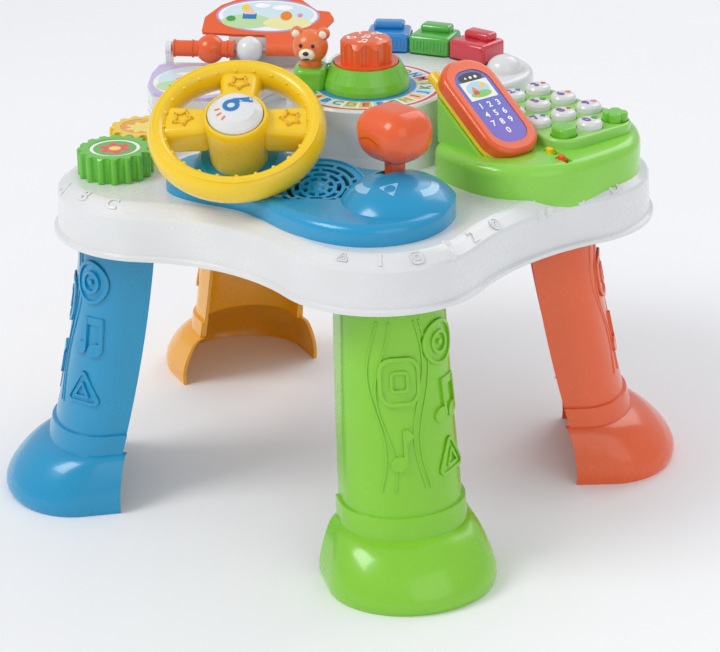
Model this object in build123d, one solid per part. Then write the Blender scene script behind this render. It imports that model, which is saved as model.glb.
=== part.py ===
from build123d import *
import math
import os

os.makedirs("parts", exist_ok=True)

# Heights above the floor, in millimetres
skirt_low = 225.0
wall_high = 258.0
deck_high = 268.0
disc_high = 320.0

# White top: five rounded lobes joined by hollows
front_lobe = (105.0, -98.0)
front_lobe_radius = 82.0
side_lobe = (150.0, 86.0)
side_lobe_radius = 81.0
back_lobe = (0.0, 106.0)
back_lobe_radius = 124.0
front_hollow_radius = 160.0
side_hollow_radius = 215.0
back_hollow_radius = 90.0
lip_out = 3.0
lip_height = 3.0
shoulder_in = 14.0
shell_wall = 2.6

# Legs: one mould, four colours
leg_headings = {"leg_blue": -47.0, "leg_green": 47.0, "leg_orange": 124.0, "leg_yellow": -122.0}
leg_wall = 3.0
leg_plug_length = 34.0
leg_top_rim = 148.0
leg_top_face = 204.0
leg_top_half = 39.0
ankle_high = 62.0
ankle_rim = 184.0
ankle_face = 238.0
ankle_half = 47.0
band_height = 17.0
band_proud = 2.5
boot_rim = 194.0
boot_face = 282.0
boot_half = 66.0
socket_gap = 0.3
socket_wall = 2.6
round_share = 0.85

# Underside and electronics
cover_radius = 136.0
cover_thick = 2.5
cover_low = 231.0
cover_screws = 6
screw_circle = 127.0
boss_radius = 5.0
screw_radius = 1.5
battery_radius = 7.1
battery_length = 50.0
battery_count = 3
door_thick = 2.0

# Blue dashboard and what it carries
dash_high = 284.0
dash_edge = 7.0
dash_clear = 0.4
speaker_at = (52.0, -103.0, 287.0)
speaker_radius = 33.0
panel_radius = 39.0
grille_tilt = 15.0
dash_heading = 28.0
hump_at = (112.0, -84.0, 268.0)
hump_size = (48.0, 52.0, 34.0)
wheel_at = (-19.0, -108.0, 323.0)
wheel_heading = 30.0
wheel_tilt = 27.0
wheel_radius = 68.0
rim_wide = 16.0
rim_tall = 18.0
hub_radius = 25.0
hub_up = 16.0
hub_down = 30.0
spoke_count = 3
spoke_wide = 24.0
shaft_radius = 6.0
running_gap = 0.35
horn_radius = 21.5
horn_dome = 9.0
horn_travel = 2.5
shift_at = (101.0, -70.0, 284.0)
shift_heading = -15.0
shift_swing = 16.0
slot_length = 32.0
slot_wide = 13.0
stalk_wide = 9.0
stalk_thick = 16.0
knob_centre_up = 48.0
knob_size = (27.0, 25.0, 23.0)

# Knob gears on the left lobe
gear_green_at = (-134.0, -115.0)
gear_green_lobes = 16
gear_yellow_lobes = 14
gear_pitch_radius = 28.2
lobe_height = 2.2
gear_play = 0.9
gear_yellow_heading = -167.0
gear_tall = 21.0
gear_float = 0.3
gear_disc_share = 0.72
gear_post_radius = 5.0
print_thick = 0.6

# Turret in the middle
turret_at = (7.0, 38.0)
drum_radius = 65.0
drum_foot_radius = 71.0
drum_wall = 2.6
disc_radius = 60.5
dome_ring_radius = 35.0
dome_ring_tall = 19.0
arm_heading = -62.0
arm_reach = 45.0
post_radius = 7.0
flower_radius = 22.0
flower_flange = 26.0
flower_tall = 20.0
flower_petals = 8
flower_travel = 3.0
bear_radius = 14.5

# Piano keys behind the turret
bed_high = 306.0
key_reach = 147.0
key_pitch = 16.0
key_middle_heading = 189.0
key_wide = 38.0
key_deep = 32.0
key_tall = 17.0
key_travel = 3.0
key_gap = 0.8
rib_count = 9

# Book on the back-left lobe
spine_at = (-181.0, 83.0, 309.0)
spine_heading = 25.5
page_lean = 33.0
page_thick = 3.0
left_page_high = 297.0
roller_radius = 7.0
ball_radius = 12.5
spine_pin_radius = 2.5
page_swing = 135.0

# Phone and keypad on the right lobe
base_high = 294.0
base_edge = 9.0
plate_high = 302.0
button_radius = 10.2
button_tall = 9.0
button_travel = 2.0
column_step = 30.5
row_step = 27.5
keypad_middle = (129.0, 104.0)
keypad_heading = -19.0
switch_places = ((178.0, 38.0), (194.0, 28.0))
switch_travel = 5.0
phone_foot = (164.0, 19.0, 299.0)
phone_heading = 70.0
phone_lean = 33.0
phone_long = 98.0
phone_wide = 50.0
phone_thick = 25.0


def spot(radius, heading):
    """A place at a radius from the middle; headings turn from the front towards the right."""
    turn = math.radians(heading)
    return (radius * math.sin(turn), -radius * math.cos(turn))


def save(shape, name):
    """Write a piece, or a list of like pieces, with the origin under the middle of the whole."""
    shift = Pos(-middle_at[0], -middle_at[1], 0)
    placed = Compound(children=[shift * piece for piece in shape]) if isinstance(shape, list) else shift * shape
    placed.label = name
    export_step(placed, f"parts/{name}.step")


def spun(points):
    """A solid turned about Z from a radius and height outline."""
    return revolve(Plane.XZ * make_face(Polyline(*points, close=True)), Axis.Z)


def tube(outer, inner, height):
    return Cylinder(outer, height, align=STAND) - Cylinder(inner, height, align=STAND)


STAND = (Align.CENTER, Align.CENTER, Align.MIN)


# Outline of the white top

def hollow_centre(first, first_radius, second, second_radius, bend):
    """Centre of the arc that bends inwards between two lobes and touches both."""
    ax, ay = first
    bx, by = second
    gap = math.hypot(bx - ax, by - ay)
    to_first = first_radius + bend
    to_second = second_radius + bend
    along = (gap**2 + to_first**2 - to_second**2) / (2 * gap)
    off = math.sqrt(to_first**2 - along**2)
    ux, uy = (bx - ax) / gap, (by - ay) / gap
    return (ax + ux * along + uy * off, ay + uy * along - ux * off)


def lobes():
    """Lobes in turn from the front right one, each with the hollow that follows it."""
    fx, fy = front_lobe
    sx, sy = side_lobe
    return [
        ((fx, fy), front_lobe_radius, side_hollow_radius),
        ((sx, sy), side_lobe_radius, back_hollow_radius),
        (back_lobe, back_lobe_radius, back_hollow_radius),
        ((-sx, sy), side_lobe_radius, side_hollow_radius),
        ((-fx, fy), front_lobe_radius, front_hollow_radius),
    ]


def towards(start, end, distance):
    gap = math.hypot(end[0] - start[0], end[1] - start[1])
    return (start[0] + (end[0] - start[0]) * distance / gap, start[1] + (end[1] - start[1]) * distance / gap)


def top_outline(inset, height):
    """The lobed outline as a face, drawn in from the skirt by an inset."""
    chain = lobes()
    count = len(chain)
    hollows = []
    for index in range(count):
        here, radius, bend = chain[index]
        there, next_radius, _ = chain[(index + 1) % count]
        hollows.append(hollow_centre(here, radius, there, next_radius, bend))
    edges = []
    for index in range(count):
        centre, radius, bend = chain[index]
        before = hollows[index - 1]
        after = hollows[index]
        size = radius - inset
        start = towards(centre, before, size)
        end = towards(centre, after, size)
        middle = (start[0] + end[0] - 2 * centre[0], start[1] + end[1] - 2 * centre[1])
        crown = towards(centre, (centre[0] + middle[0], centre[1] + middle[1]), size)
        edges.append(ThreePointArc(start, crown, end))
        there, next_radius, _ = chain[(index + 1) % count]
        leave = towards(there, after, next_radius - inset)
        belly = ((end[0] + leave[0]) / 2 - after[0], (end[1] + leave[1]) / 2 - after[1])
        dip = towards(after, (after[0] + belly[0], after[1] + belly[1]), bend + inset)
        edges.append(ThreePointArc(end, dip, leave))
    return Pos(0, 0, height) * make_face(edges)


def stacked(levels):
    """A solid through outlines given as height and inset pairs."""
    solids = None
    for (low, low_inset), (high, high_inset) in zip(levels, levels[1:]):
        if abs(low_inset - high_inset) < 1e-6:
            slice_ = extrude(top_outline(low_inset, low), amount=high - low)
        else:
            slice_ = loft([top_outline(low_inset, low), top_outline(high_inset, high)], ruled=True)
        solids = slice_ if solids is None else solids + slice_
    return solids


# Legs

def leg_outline(height, rim, face, half, grow):
    """Section of a leg: flanks from the open rim, closed outside by half an ellipse."""
    depth = half * round_share
    flank = face - depth
    wide = half + grow
    back = rim - (0 if grow >= 0 else 20)
    bow = EllipticalCenterArc((flank, 0), depth + grow, wide, start_angle=-90, arc_size=180)
    lower = Line((back, -wide), (flank, -wide))
    upper = Line((flank, wide), (back, wide))
    close = Line((back, wide), (back, -wide))
    return Pos(0, 0, height) * make_face([lower, bow, upper, close])


def leg_at(height, grow=0.0):
    """Shaft section at a height; the shaft bows out gently towards the ankle."""
    fall = (deck_high - height) / (deck_high - ankle_high)
    bend = 0.45 * fall + 0.55 * fall**2
    rim = leg_top_rim + (ankle_rim - leg_top_rim) * bend
    face = leg_top_face + (ankle_face - leg_top_face) * bend
    half = leg_top_half + (ankle_half - leg_top_half) * fall
    return leg_outline(height, rim, face, half, grow)


def boot_at(share, height, grow=0.0):
    """Boot section; share runs from 0 at the ankle to 1 at the widest."""
    rim = ankle_rim + 1 + (boot_rim - ankle_rim - 1) * share
    face = ankle_face + band_proud + (boot_face - ankle_face - band_proud) * share
    half = ankle_half + band_proud + (boot_half - ankle_half - band_proud) * share
    return leg_outline(height, rim, face, half, grow)


def boot_levels():
    top = ankle_high - band_height
    return [(0.0, top + 1.0), (0.42, top - 5), (0.74, top * 0.62), (0.95, top * 0.34), (1.0, top * 0.17), (0.94, 0.0)]


leg_stop = deck_high - shell_wall - 3.0


def leg_shell():
    heights = [leg_stop, skirt_low, 168.0, 112.0, ankle_high - band_height]
    shaft = loft([leg_at(height) for height in heights])
    band_low = ankle_high - band_height
    band = loft([leg_at(band_low, band_proud), leg_at(ankle_high, band_proud)], ruled=True)
    boot = loft([boot_at(share, height) for share, height in boot_levels()])
    inner_heights = [leg_stop - leg_wall, skirt_low, 168.0, 112.0, ankle_high - band_height]
    hollow = loft([leg_at(height, -leg_wall) for height in inner_heights])
    foot_levels = boot_levels()
    foot_levels[0] = (0.0, ankle_high - band_height + 1.5)
    foot_levels[-1] = (0.94, -1.0)
    cave = loft([boot_at(share, height, -leg_wall - band_proud * (share < 0.01)) for share, height in foot_levels])
    return shaft + band + boot - hollow - cave


def leg_socket():
    """Collar below the deck that the leg's top end plugs into."""
    low = leg_stop - leg_plug_length
    high = deck_high - shell_wall + 0.5
    outside = loft([leg_at(low, socket_gap + socket_wall), leg_at(high, socket_gap + socket_wall)], ruled=True)
    inside = loft([leg_at(low - 0.1, socket_gap), leg_at(leg_stop, socket_gap)], ruled=True)
    mouth = Pos(leg_top_rim - 10, 0, (low + leg_stop) / 2) * Box(30, 2 * leg_top_half - 10, leg_stop - low)
    return outside - inside - mouth


def turned(shape, heading):
    """Turn a shape modelled along +X so that it points along a heading."""
    return Rot(0, 0, heading - 90) * shape


def make_legs():
    for name, heading in leg_headings.items():
        save(turned(leg_mould, heading), name)


def middle_of_whole():
    """Plan middle of the box around everything: the boots bound it, and the skirt at the back."""
    boxes = [turned(leg_mould, heading).bounding_box() for heading in leg_headings.values()]
    skirt_back = back_lobe[1] + back_lobe_radius + lip_out
    left, right = min(box.min.X for box in boxes), max(box.max.X for box in boxes)
    front, back = min(box.min.Y for box in boxes), max([skirt_back] + [box.max.Y for box in boxes])
    return ((left + right) / 2, (front + back) / 2)


# White top

def make_table_top():
    outside = stacked([
        (skirt_low, -lip_out), (skirt_low + lip_height, -lip_out), (skirt_low + lip_height + 1.2, 0.0),
        (wall_high, 1.2), (wall_high + 2.6, 2.6), (deck_high - 2.4, shoulder_in - 4.6),
        (deck_high - 0.7, shoulder_in - 1.4), (deck_high, shoulder_in + 1.2)])
    under = deck_high - shell_wall
    inside = stacked([
        (skirt_low - 1, shell_wall), (wall_high - 1.0, shell_wall + 1.2),
        (wall_high + 1.6, shell_wall + 3.4), (under, shoulder_in + 1.0)])
    top = outside - inside
    for heading in leg_headings.values():
        top += turned(leg_socket(), heading)
    for place in cover_screw_places():
        boss_low = cover_low + cover_thick
        boss = Pos(*place, boss_low) * Cylinder(boss_radius, under - boss_low + 0.5, align=STAND)
        hole = Pos(*place, boss_low - 1) * Cylinder(screw_radius, 16, align=STAND)
        top += boss
        top -= hole
    board_top = board_low + board_size[2]
    for side_x in (-1, 1):
        for side_y in (-1, 1):
            x = board_at[0] + side_x * (board_size[0] / 2 - 5)
            y = board_at[1] + side_y * (board_size[1] / 2 - 5)
            top += Pos(x, y, board_top) * Cylinder(3.5, under - board_top + 0.5, align=STAND)
    save(top, "table_top")


def cover_screw_places():
    return [spot(screw_circle, index * 360 / cover_screws + 0.0) for index in range(cover_screws)]


battery_room = (battery_count * (2 * battery_radius + 1.4) + 3, battery_length + 5, 2 * battery_radius + 2.0)


def make_underside():
    cover = Pos(0, 0, cover_low) * Cylinder(cover_radius, cover_thick, align=STAND)
    rim = Pos(0, 0, cover_low) * tube(cover_radius, cover_radius - 2.5, 9)
    wide, long, deep = battery_room
    wall = 2.0
    box = Pos(0, 0, cover_low) * Box(wide + 2 * wall, long + 2 * wall, deep + cover_thick + wall, align=STAND)
    room = Pos(0, 0, cover_low - 1) * Box(wide, long, deep + cover_thick + 1, align=STAND)
    ledge = Pos(0, 0, cover_low - 1) * Box(wide + 6, long + 6, door_thick + 1.0, align=STAND)
    cover = cover + rim + box - room - ledge
    for place in cover_screw_places():
        cover -= Pos(*place, cover_low - 1) * Cylinder(screw_radius + 0.4, 12, align=STAND)
    save(cover, "bottom_cover")
    door = Pos(0, 0, cover_low) * Box(wide + 5.4, long + 5.4, door_thick, align=STAND)
    grip = Pos(0, -long / 2 + 6, cover_low - 0.5) * Box(18, 3, 1.2, align=STAND)
    save(door - grip, "battery_door")
    cells = []
    for index in range(battery_count):
        x = (index - (battery_count - 1) / 2) * (2 * battery_radius + 1.4)
        low = cover_low + door_thick + battery_radius + 0.5
        cell = Rot(90, 0, 0) * Cylinder(battery_radius, battery_length)
        cap = Rot(90, 0, 0) * Cylinder(2.7, battery_length + 2.4)
        cells.append(Pos(x, 0, low + 0.2) * (cell + cap))
    save(cells, "batteries")
    screws = []
    for place in cover_screw_places():
        head = Pos(*place, cover_low - 1.8) * Cylinder(3.0, 1.8, align=STAND)
        stem = Pos(*place, cover_low) * Cylinder(screw_radius - 0.1, 12, align=STAND)
        slot = Pos(*place, cover_low - 1.8) * (Box(4, 0.8, 1.6) + Box(0.8, 4, 1.6))
        screws.append(head + stem - slot)
    save(screws, "cover_screws")




def facing(place, heading, tilt=0.0):
    """A frame at a place: its -Y points along the heading and its Z leans that way by the tilt."""
    turn, lean = math.radians(heading), math.radians(tilt)
    up = (math.sin(turn) * math.sin(lean), -math.cos(turn) * math.sin(lean), math.cos(lean))
    return Plane(origin=place, x_dir=(math.cos(turn), math.sin(turn), 0), z_dir=up).location


def blob(points, low, high, edge=0.0):
    """A block with a smooth closed outline and a rounded top edge."""
    block = Pos(0, 0, low) * extrude(make_face(Spline(*points, periodic=True)), amount=high - low)
    if edge:
        block = fillet(block.faces().sort_by(Axis.Z)[-1].edges(), edge)
    return block


def rounded_block(wide, deep, tall, corner, edge=0.0):
    block = extrude(RectangleRounded(wide, deep, corner), amount=tall)
    if edge:
        block = fillet(block.faces().sort_by(Axis.Z)[-1].edges(), edge)
    return block


def egg(sizes):
    return scale(Sphere(1), by=sizes)


def on_deck(shape):
    """Keep what stands above the white top, shaped to its shoulder."""
    return shape - deck_body()


def deck_body():
    return stacked([
        (wall_high - 12, 1.2), (wall_high, 1.2), (wall_high + 2.6, 2.6), (deck_high - 2.4, shoulder_in - 4.6),
        (deck_high - 0.7, shoulder_in - 1.4), (deck_high, shoulder_in + 1.2)])


# Dashboard, steering and shifter

dash_outline = ((-84, -110), (-68, -132), (-32, -137), (2, -136), (42, -148), (84, -158), (126, -150),
                (152, -120), (156, -82), (140, -47), (104, -30), (58, -38), (8, -38), (-42, -46), (-80, -76))


def grille_slots():
    """Slots in four rings, each ring turned half a slot from the one inside it."""
    slots = []
    segments = 8
    for ring in range(4):
        inner = 8.5 + ring * 6.2
        outer = inner + 3.4
        band = Pos(0, 0, -6) * tube(outer, inner, 8)
        for segment in range(segments):
            bridge = Rot(0, 0, segment * 360 / segments + ring * 180 / segments)
            band -= bridge * Pos((inner + outer) / 2, 0, -2) * Box(8, 3.0, 10)
        slots.append(band)
    return slots


def make_dashboard():
    slab = blob(dash_outline, deck_high, dash_high, dash_edge)
    column = Pos(0, 0, deck_high) * extrude(make_face(Spline(*dash_outline, periodic=True)), amount=60)
    hump = Pos(*hump_at) * egg(hump_size)
    panel_frame = facing(speaker_at, dash_heading, grille_tilt)
    panel = Pos(0, 0, -30) * Cylinder(panel_radius, 30, align=STAND)
    panel = panel_frame * fillet(panel.faces().sort_by(Axis.Z)[-1].edges(), 2.5)
    wheel_frame = facing(wheel_at, wheel_heading, wheel_tilt)
    mound_top = -hub_down - running_gap
    mound = wheel_frame * Pos(0, 0, mound_top - 26) * Cone(44, hub_radius + 5, 26, align=STAND)
    body = slab + (hump + panel + mound) & column
    cavity = panel_frame * Pos(0, 0, -2.6 - 14) * Cylinder(speaker_radius, 14, align=STAND)
    body -= cavity
    for slot in grille_slots():
        body -= panel_frame * slot
    body += panel_frame * Pos(0, 0, -2.6) * spun([(0, 0), (5.5, 0), (5.5, 2.6), (4.0, 4.2), (0, 5.0)])
    shift_frame = facing(shift_at, shift_heading)
    body -= shift_frame * Pos(0, 0, -14) * Box(slot_wide, slot_length, 60, align=STAND)
    body -= shift_frame * Rot(0, 90, 0) * Cylinder(shift_pin_radius + 0.02, shift_pin_length)
    body -= wheel_frame * Pos(0, 0, mound_top - shaft_foot) * Cylinder(shaft_radius + 0.02, shaft_foot + 1, align=STAND)
    save(body, "dashboard")
    cone_outline = [(0, 1.6), (13, 1.6), (13, 6), (speaker_radius - 4, 10.5), (speaker_radius - 0.4, 10.5),
                    (speaker_radius - 0.4, 13.6), (speaker_radius - 6, 13.6), (10, 8.4), (0, 9.4)]
    save(panel_frame * Pos(0, 0, -2.6 - 13.6) * spun(cone_outline), "speaker")
    save(shift_frame * Rot(0, 90, 0) * Cylinder(shift_pin_radius, shift_pin_length - 0.4), "shift_pin")


shift_pin_radius = 2.5
shift_pin_length = 30.0
shaft_foot = 12.0


def make_steering():
    frame = facing(wheel_at, wheel_heading, wheel_tilt)
    ring = Plane.XZ * Pos(wheel_radius - rim_wide / 2, 0) * Ellipse(rim_wide / 2, rim_tall / 2)
    wheel = revolve(ring, Axis.Z)
    hub = Pos(0, 0, -hub_down) * Cylinder(hub_radius, hub_down + hub_up, align=STAND)
    hub = fillet(hub.faces().sort_by(Axis.Z)[-1].edges(), 2.0)
    for index in range(spoke_count):
        inner = Plane.YZ.offset(hub_radius - 8) * Pos(0, 3.5) * RectangleRounded(spoke_wide + 12, 14, 5)
        outer = Plane.YZ.offset(wheel_radius - rim_wide * 0.62) * Pos(0, -1) * RectangleRounded(spoke_wide, 10, 4.4)
        wheel += Rot(0, 0, 95 + index * 360 / spoke_count) * loft([inner, outer], ruled=True)
    wheel += hub
    recess = hub_up - horn_depth
    wheel -= Pos(0, 0, recess) * Cylinder(horn_radius + 0.5, horn_depth + 1, align=STAND)
    wheel -= Pos(0, 0, -hub_down - 1) * Cylinder(shaft_radius + shaft_play, hub_down + shaft_top + 1, align=STAND)
    wheel -= Pos(0, 0, recess - 9) * Cylinder(horn_stem + shaft_play, 10, align=STAND)
    save(frame * wheel, "steering_wheel")
    low = -hub_down - running_gap - shaft_foot
    shaft = Pos(0, 0, low) * Cylinder(shaft_radius, shaft_top - 0.5 - low, align=STAND)
    save(frame * shaft, "steering_shaft")
    skirt = recess + horn_travel + 1.2
    cap = [(0, skirt), (horn_radius, skirt), (horn_radius, hub_up + 1.0), (horn_radius - 1.2, hub_up + 2.6),
           (horn_radius * 0.72, hub_up + horn_dome * 0.78), (horn_radius * 0.36, hub_up + horn_dome * 0.95),
           (0, hub_up + horn_dome)]
    horn = spun(cap) + Pos(0, 0, recess - 4.0) * Cylinder(horn_stem, skirt - recess + 5, align=STAND)
    save(frame * horn, "horn_button")
    pad = Pos(0, 0, recess) * tube(12, 9, 0.9)
    save(frame * pad, "horn_pad")


horn_depth = 9.0
horn_stem = 4.0
shaft_top = -4.0
shaft_play = 0.08


def make_shifter():
    frame = facing(shift_at, shift_heading)
    barrel = Rot(0, 90, 0) * Cylinder(7.0, slot_wide - 1.6)
    stalk = Pos(0, 0, 0) * Box(stalk_wide, stalk_thick * 0.72, 34, align=STAND)
    stalk = fillet(stalk.edges().filter_by(Axis.Z), 2.0) + barrel
    stalk -= Rot(0, 90, 0) * Cylinder(shift_pin_radius + shaft_play, 40)
    save(frame * stalk, "shift_lever")
    knob = Pos(0, 0, knob_centre_up) * egg(knob_size)
    collar = Pos(0, 0, knob_centre_up - knob_size[2] - 1) * Cone(9.5, 15, 12, align=STAND)
    socket = Box(stalk_wide + 0.1, stalk_thick * 0.72 + 0.1, 34.1, align=STAND)
    save(frame * (knob + collar - socket), "shift_knob")


# Knob gears

def lobed_gear(teeth, pitch, tall, phase):
    """A knob with round lobes that roll into a neighbour's hollows."""
    edges = []
    step = 360 / teeth
    for index in range(teeth):
        start = phase + (index - 0.25) * step
        points = []
        for share, lift in ((0, 0), (0.25, lobe_height), (0.5, 0), (0.75, -lobe_height), (1.0, 0)):
            turn = math.radians(start + share * step)
            points.append(((pitch + lift) * math.cos(turn), (pitch + lift) * math.sin(turn)))
        edges.append(ThreePointArc(points[0], points[1], points[2]))
        edges.append(ThreePointArc(points[2], points[3], points[4]))
    return extrude(make_face(edges), amount=tall)


def make_gear(name, place, teeth, phase):
    pitch = gear_pitch_radius * teeth / gear_green_lobes
    low = deck_high + gear_float
    disc_radius_here = pitch * gear_disc_share
    gear = lobed_gear(teeth, pitch, gear_tall, phase)
    gear = gear & spun([(0, 0), (pitch + 4, 0), (pitch + 4, gear_tall - 3.0), (pitch + 1, gear_tall), (0, gear_tall)])
    gear -= Pos(0, 0, gear_tall - 1.4) * Cylinder(disc_radius_here + 0.2, 3, align=STAND)
    gear -= Pos(0, 0, -1) * tube(pitch - 5.5, gear_post_radius + 3.0, gear_tall - 4)
    gear -= Pos(0, 0, -1) * Cylinder(gear_post_radius + shaft_play, gear_tall - 5, align=STAND)
    save(Pos(*place, low) * gear, name)
    disc = Pos(*place, low + gear_tall - 1.4) * Cylinder(disc_radius_here, print_thick, align=STAND)
    save(disc, name + "_disc")


def make_gears():
    yellow_pitch = gear_pitch_radius * gear_yellow_lobes / gear_green_lobes
    apart = gear_pitch_radius + yellow_pitch + gear_play
    step_x, step_y = spot(apart, gear_yellow_heading)
    gear_yellow_at = (gear_green_at[0] + step_x, gear_green_at[1] + step_y)
    facing_angle = gear_yellow_heading - 90
    make_gear("gear_green", gear_green_at, gear_green_lobes, facing_angle)
    make_gear("gear_yellow", gear_yellow_at, gear_yellow_lobes, facing_angle + 180 + 180 / gear_yellow_lobes)
    posts = []
    for place in (gear_green_at, gear_yellow_at):
        posts.append(Pos(*place, deck_high) * Cylinder(gear_post_radius, gear_tall - 6.5, align=STAND))
    save(posts, "gear_posts")


# Turret

def turret_direction(heading, radius, height):
    x, y = spot(radius, heading)
    return (turret_at[0] + x, turret_at[1] + y, height)


def key_places():
    headings = {"key_blue": key_pitch, "key_green": 0.0, "key_red": -key_pitch}
    return {name: key_middle_heading + offset for name, offset in headings.items()}


def key_frame(heading):
    return facing(turret_direction(heading, key_reach, bed_high), heading)


def make_turret():
    drum = spun([(0, deck_high), (drum_foot_radius, deck_high), (drum_foot_radius - 3.5, deck_high + 14),
                 (drum_radius, disc_high - 8), (drum_radius, disc_high - 1.5), (drum_radius - 1.5, disc_high),
                 (disc_radius + 0.2, disc_high), (disc_radius + 0.2, disc_high - 0.8), (0, disc_high - 0.8)])
    room = spun([(0, deck_high - 1), (drum_foot_radius - drum_wall, deck_high - 1),
                 (drum_foot_radius - 3.5 - drum_wall, deck_high + 14), (drum_radius - drum_wall, disc_high - 8),
                 (drum_radius - drum_wall, disc_high - 4), (0, disc_high - 4)])
    drum = Pos(*turret_at) * drum
    bed = blob(bed_outline, deck_high, bed_high, 5)
    housing = drum + bed - Pos(*turret_at) * room
    for name, heading in key_places().items():
        frame = key_frame(heading)
        housing -= frame * Pos(0, 0, -key_well) * extrude(
            RectangleRounded(key_wide + 2 * key_gap, key_deep + 2 * key_gap, 6.5), amount=key_well + 5)
        housing -= frame * Pos(0, 0, -key_well - 14) * Cylinder(key_stem + shaft_play, 20, align=STAND)
    housing -= Pos(*turret_at, disc_high - 10) * Cylinder(post_radius + 0.02, 20, align=STAND)
    save(housing, "turret_drum")
    disc = Pos(*turret_at, disc_high - 0.8) * tube(disc_radius, post_radius + 1, 0.8)
    save(disc, "alphabet_disc")
    flange = Cylinder(14, 2.6, align=STAND)
    post = Pos(0, 0, disc_high - 4 - 2.6) * flange + Pos(0, 0, disc_high - 4 - 2.6) * Cylinder(
        post_radius, post_top - disc_high + 6.6, align=STAND)
    save(Pos(*turret_at) * post, "turret_post")


bed_outline = ((-84, 118), (-86, 158), (-66, 194), (-30, 212), (14, 216), (52, 206), (82, 180), (84, 146),
               (66, 108), (40, 84), (-20, 84), (-58, 96))

key_well = 6.0
key_stem = 4.0
post_top = 352.0
ring_low = disc_high + 0.3
flange_high = 342.0


def make_pointer():
    top = flange_high - 1.5
    floor = flange_high - 3.4 - flower_travel - 1.0
    ring = spun([(post_radius + shaft_play, ring_low), (dome_ring_radius, ring_low),
                 (dome_ring_radius, ring_low + 4), (dome_ring_radius - 1.2, ring_low + 9),
                 (dome_ring_radius - 4.0, ring_low + 14.5), (flower_flange + 2.2, top), (flower_flange + 0.6, top),
                 (flower_flange + 0.6, floor), (post_radius + shaft_play, floor)])
    car_frame = facing((*spot(arm_reach, arm_heading), ring_low), arm_heading - 90)
    arm = facing((*spot(arm_reach * 0.62, arm_heading), ring_low), arm_heading - 90) * rounded_block(
        arm_reach * 0.72, 17, 11, 5, 3)
    car = car_frame * rounded_block(27, 30, 17, 9, 4)
    seat = car_frame * Pos(0, 0, 12) * Cylinder(9.5, 10, align=STAND)
    pointer = ring + (arm + car) - Pos(0, 0, ring_low - 1) * Cylinder(dome_ring_radius - 4, floor - ring_low - 3, align=STAND)
    core = Pos(0, 0, ring_low) * tube(post_radius + 4, post_radius + shaft_play, floor - ring_low - 1)
    pointer = pointer + core - Pos(0, 0, ring_low - 1) * Cylinder(post_radius + shaft_play, 60, align=STAND) - seat
    save(Pos(*turret_at) * pointer, "pointer_ring")
    head = Pos(0, 0, 12 + 6 + bear_radius) * egg((bear_radius, bear_radius * 0.92, bear_radius * 0.95))
    body = Pos(0, 0, 12.3) * Cylinder(9.0, 8, align=STAND) + Pos(0, 0, 20.3) * egg((9.0, 9.0, 7))
    ears = Pos(-11.0, 1, 12 + 6 + bear_radius * 1.75) * Sphere(5.2) + Pos(11.0, 1, 12 + 6 + bear_radius * 1.75) * Sphere(5.2)
    snout = Pos(0, -bear_radius * 0.82, 12 + 3 + bear_radius) * egg((6.8, 4.6, 5.2))
    nose = Pos(0, -bear_radius * 0.82 - 4.4, 12 + 4.6 + bear_radius) * egg((2.4, 1.5, 1.7))
    bear = head + body + ears + snout + nose
    bear_frame = facing((*spot(arm_reach, arm_heading), ring_low), bear_heading)
    save(Pos(*turret_at) * bear_frame * bear, "bear_figure")
    flange = Cylinder(flower_flange, 2.4, align=STAND)
    petals = lobed_gear_flower()
    flower = Pos(0, 0, flange_high - 2.4) * flange + Pos(0, 0, flange_high - 0.1) * petals
    flower -= Pos(0, 0, flange_high - 10) * Cylinder(post_radius + shaft_play, post_top + 1.6 + flower_travel - flange_high + 10, align=STAND)
    save(Pos(*turret_at) * flower, "flower_button")


bear_heading = 20.0


def lobed_gear_flower():
    """Flower knob: lobed sides and a slightly domed top."""
    edges = []
    step = 360 / flower_petals
    for index in range(flower_petals):
        points = []
        for share, size in ((0, 0.93), (0.25, 1.0), (0.5, 0.93), (0.75, 0.86), (1.0, 0.93)):
            turn = math.radians((index + share) * step)
            points.append((flower_radius * size * math.cos(turn), flower_radius * size * math.sin(turn)))
        edges.append(ThreePointArc(points[0], points[1], points[2]))
        edges.append(ThreePointArc(points[2], points[3], points[4]))
    lobes_solid = extrude(make_face(edges), amount=flower_tall)
    dome = spun([(0, 0), (flower_radius + 2, 0), (flower_radius + 2, 1), (flower_radius + 0.5, flower_tall - 7),
                 (flower_radius - 2.5, flower_tall - 2.2), (flower_radius - 6.5, flower_tall - 0.6), (0, flower_tall)])
    return lobes_solid & dome


# Piano keys

def key_mark(name):
    marks = {"key_blue": Circle(9.5), "key_green": RectangleRounded(18, 18, 4),
             "key_red": fillet(RegularPolygon(12.5, 3).vertices(), 4)}
    return fillet(extrude(marks[name], amount=7).faces().sort_by(Axis.Z)[-1].edges(), 2)


def make_keys():
    for name, heading in key_places().items():
        low = -key_travel + 1.5
        key = Pos(0, 0, low) * rounded_block(key_wide, key_deep, key_tall, 6, 2.5)
        key += Pos(0, 0, low + key_tall - 0.2) * key_mark(name)
        rib_high = key_tall - 4
        for index in range(rib_count):
            x = (index - (rib_count - 1) / 2) * (key_wide - 12) / (rib_count - 1)
            for side in (-1, 1):
                key += Pos(x, side * key_deep / 2, low + 4) * Cylinder(0.7, rib_high - 4, align=STAND)
        key += Pos(0, 0, low - 8) * Cylinder(key_stem, 10, align=STAND)
        save(key_frame(heading) * key, name)
    save(Pos(*dome_at, bed_high) * (Cylinder(dome_size, 1.5, align=STAND) + Pos(0, 0, 1.5) * (
        egg((dome_size, dome_size, dome_size * 0.8)) & Cylinder(40, 40, align=STAND))), "dome_white")


dome_at = (62.0, 166.0)
dome_size = 14.5


# Book with a turning page

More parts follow.
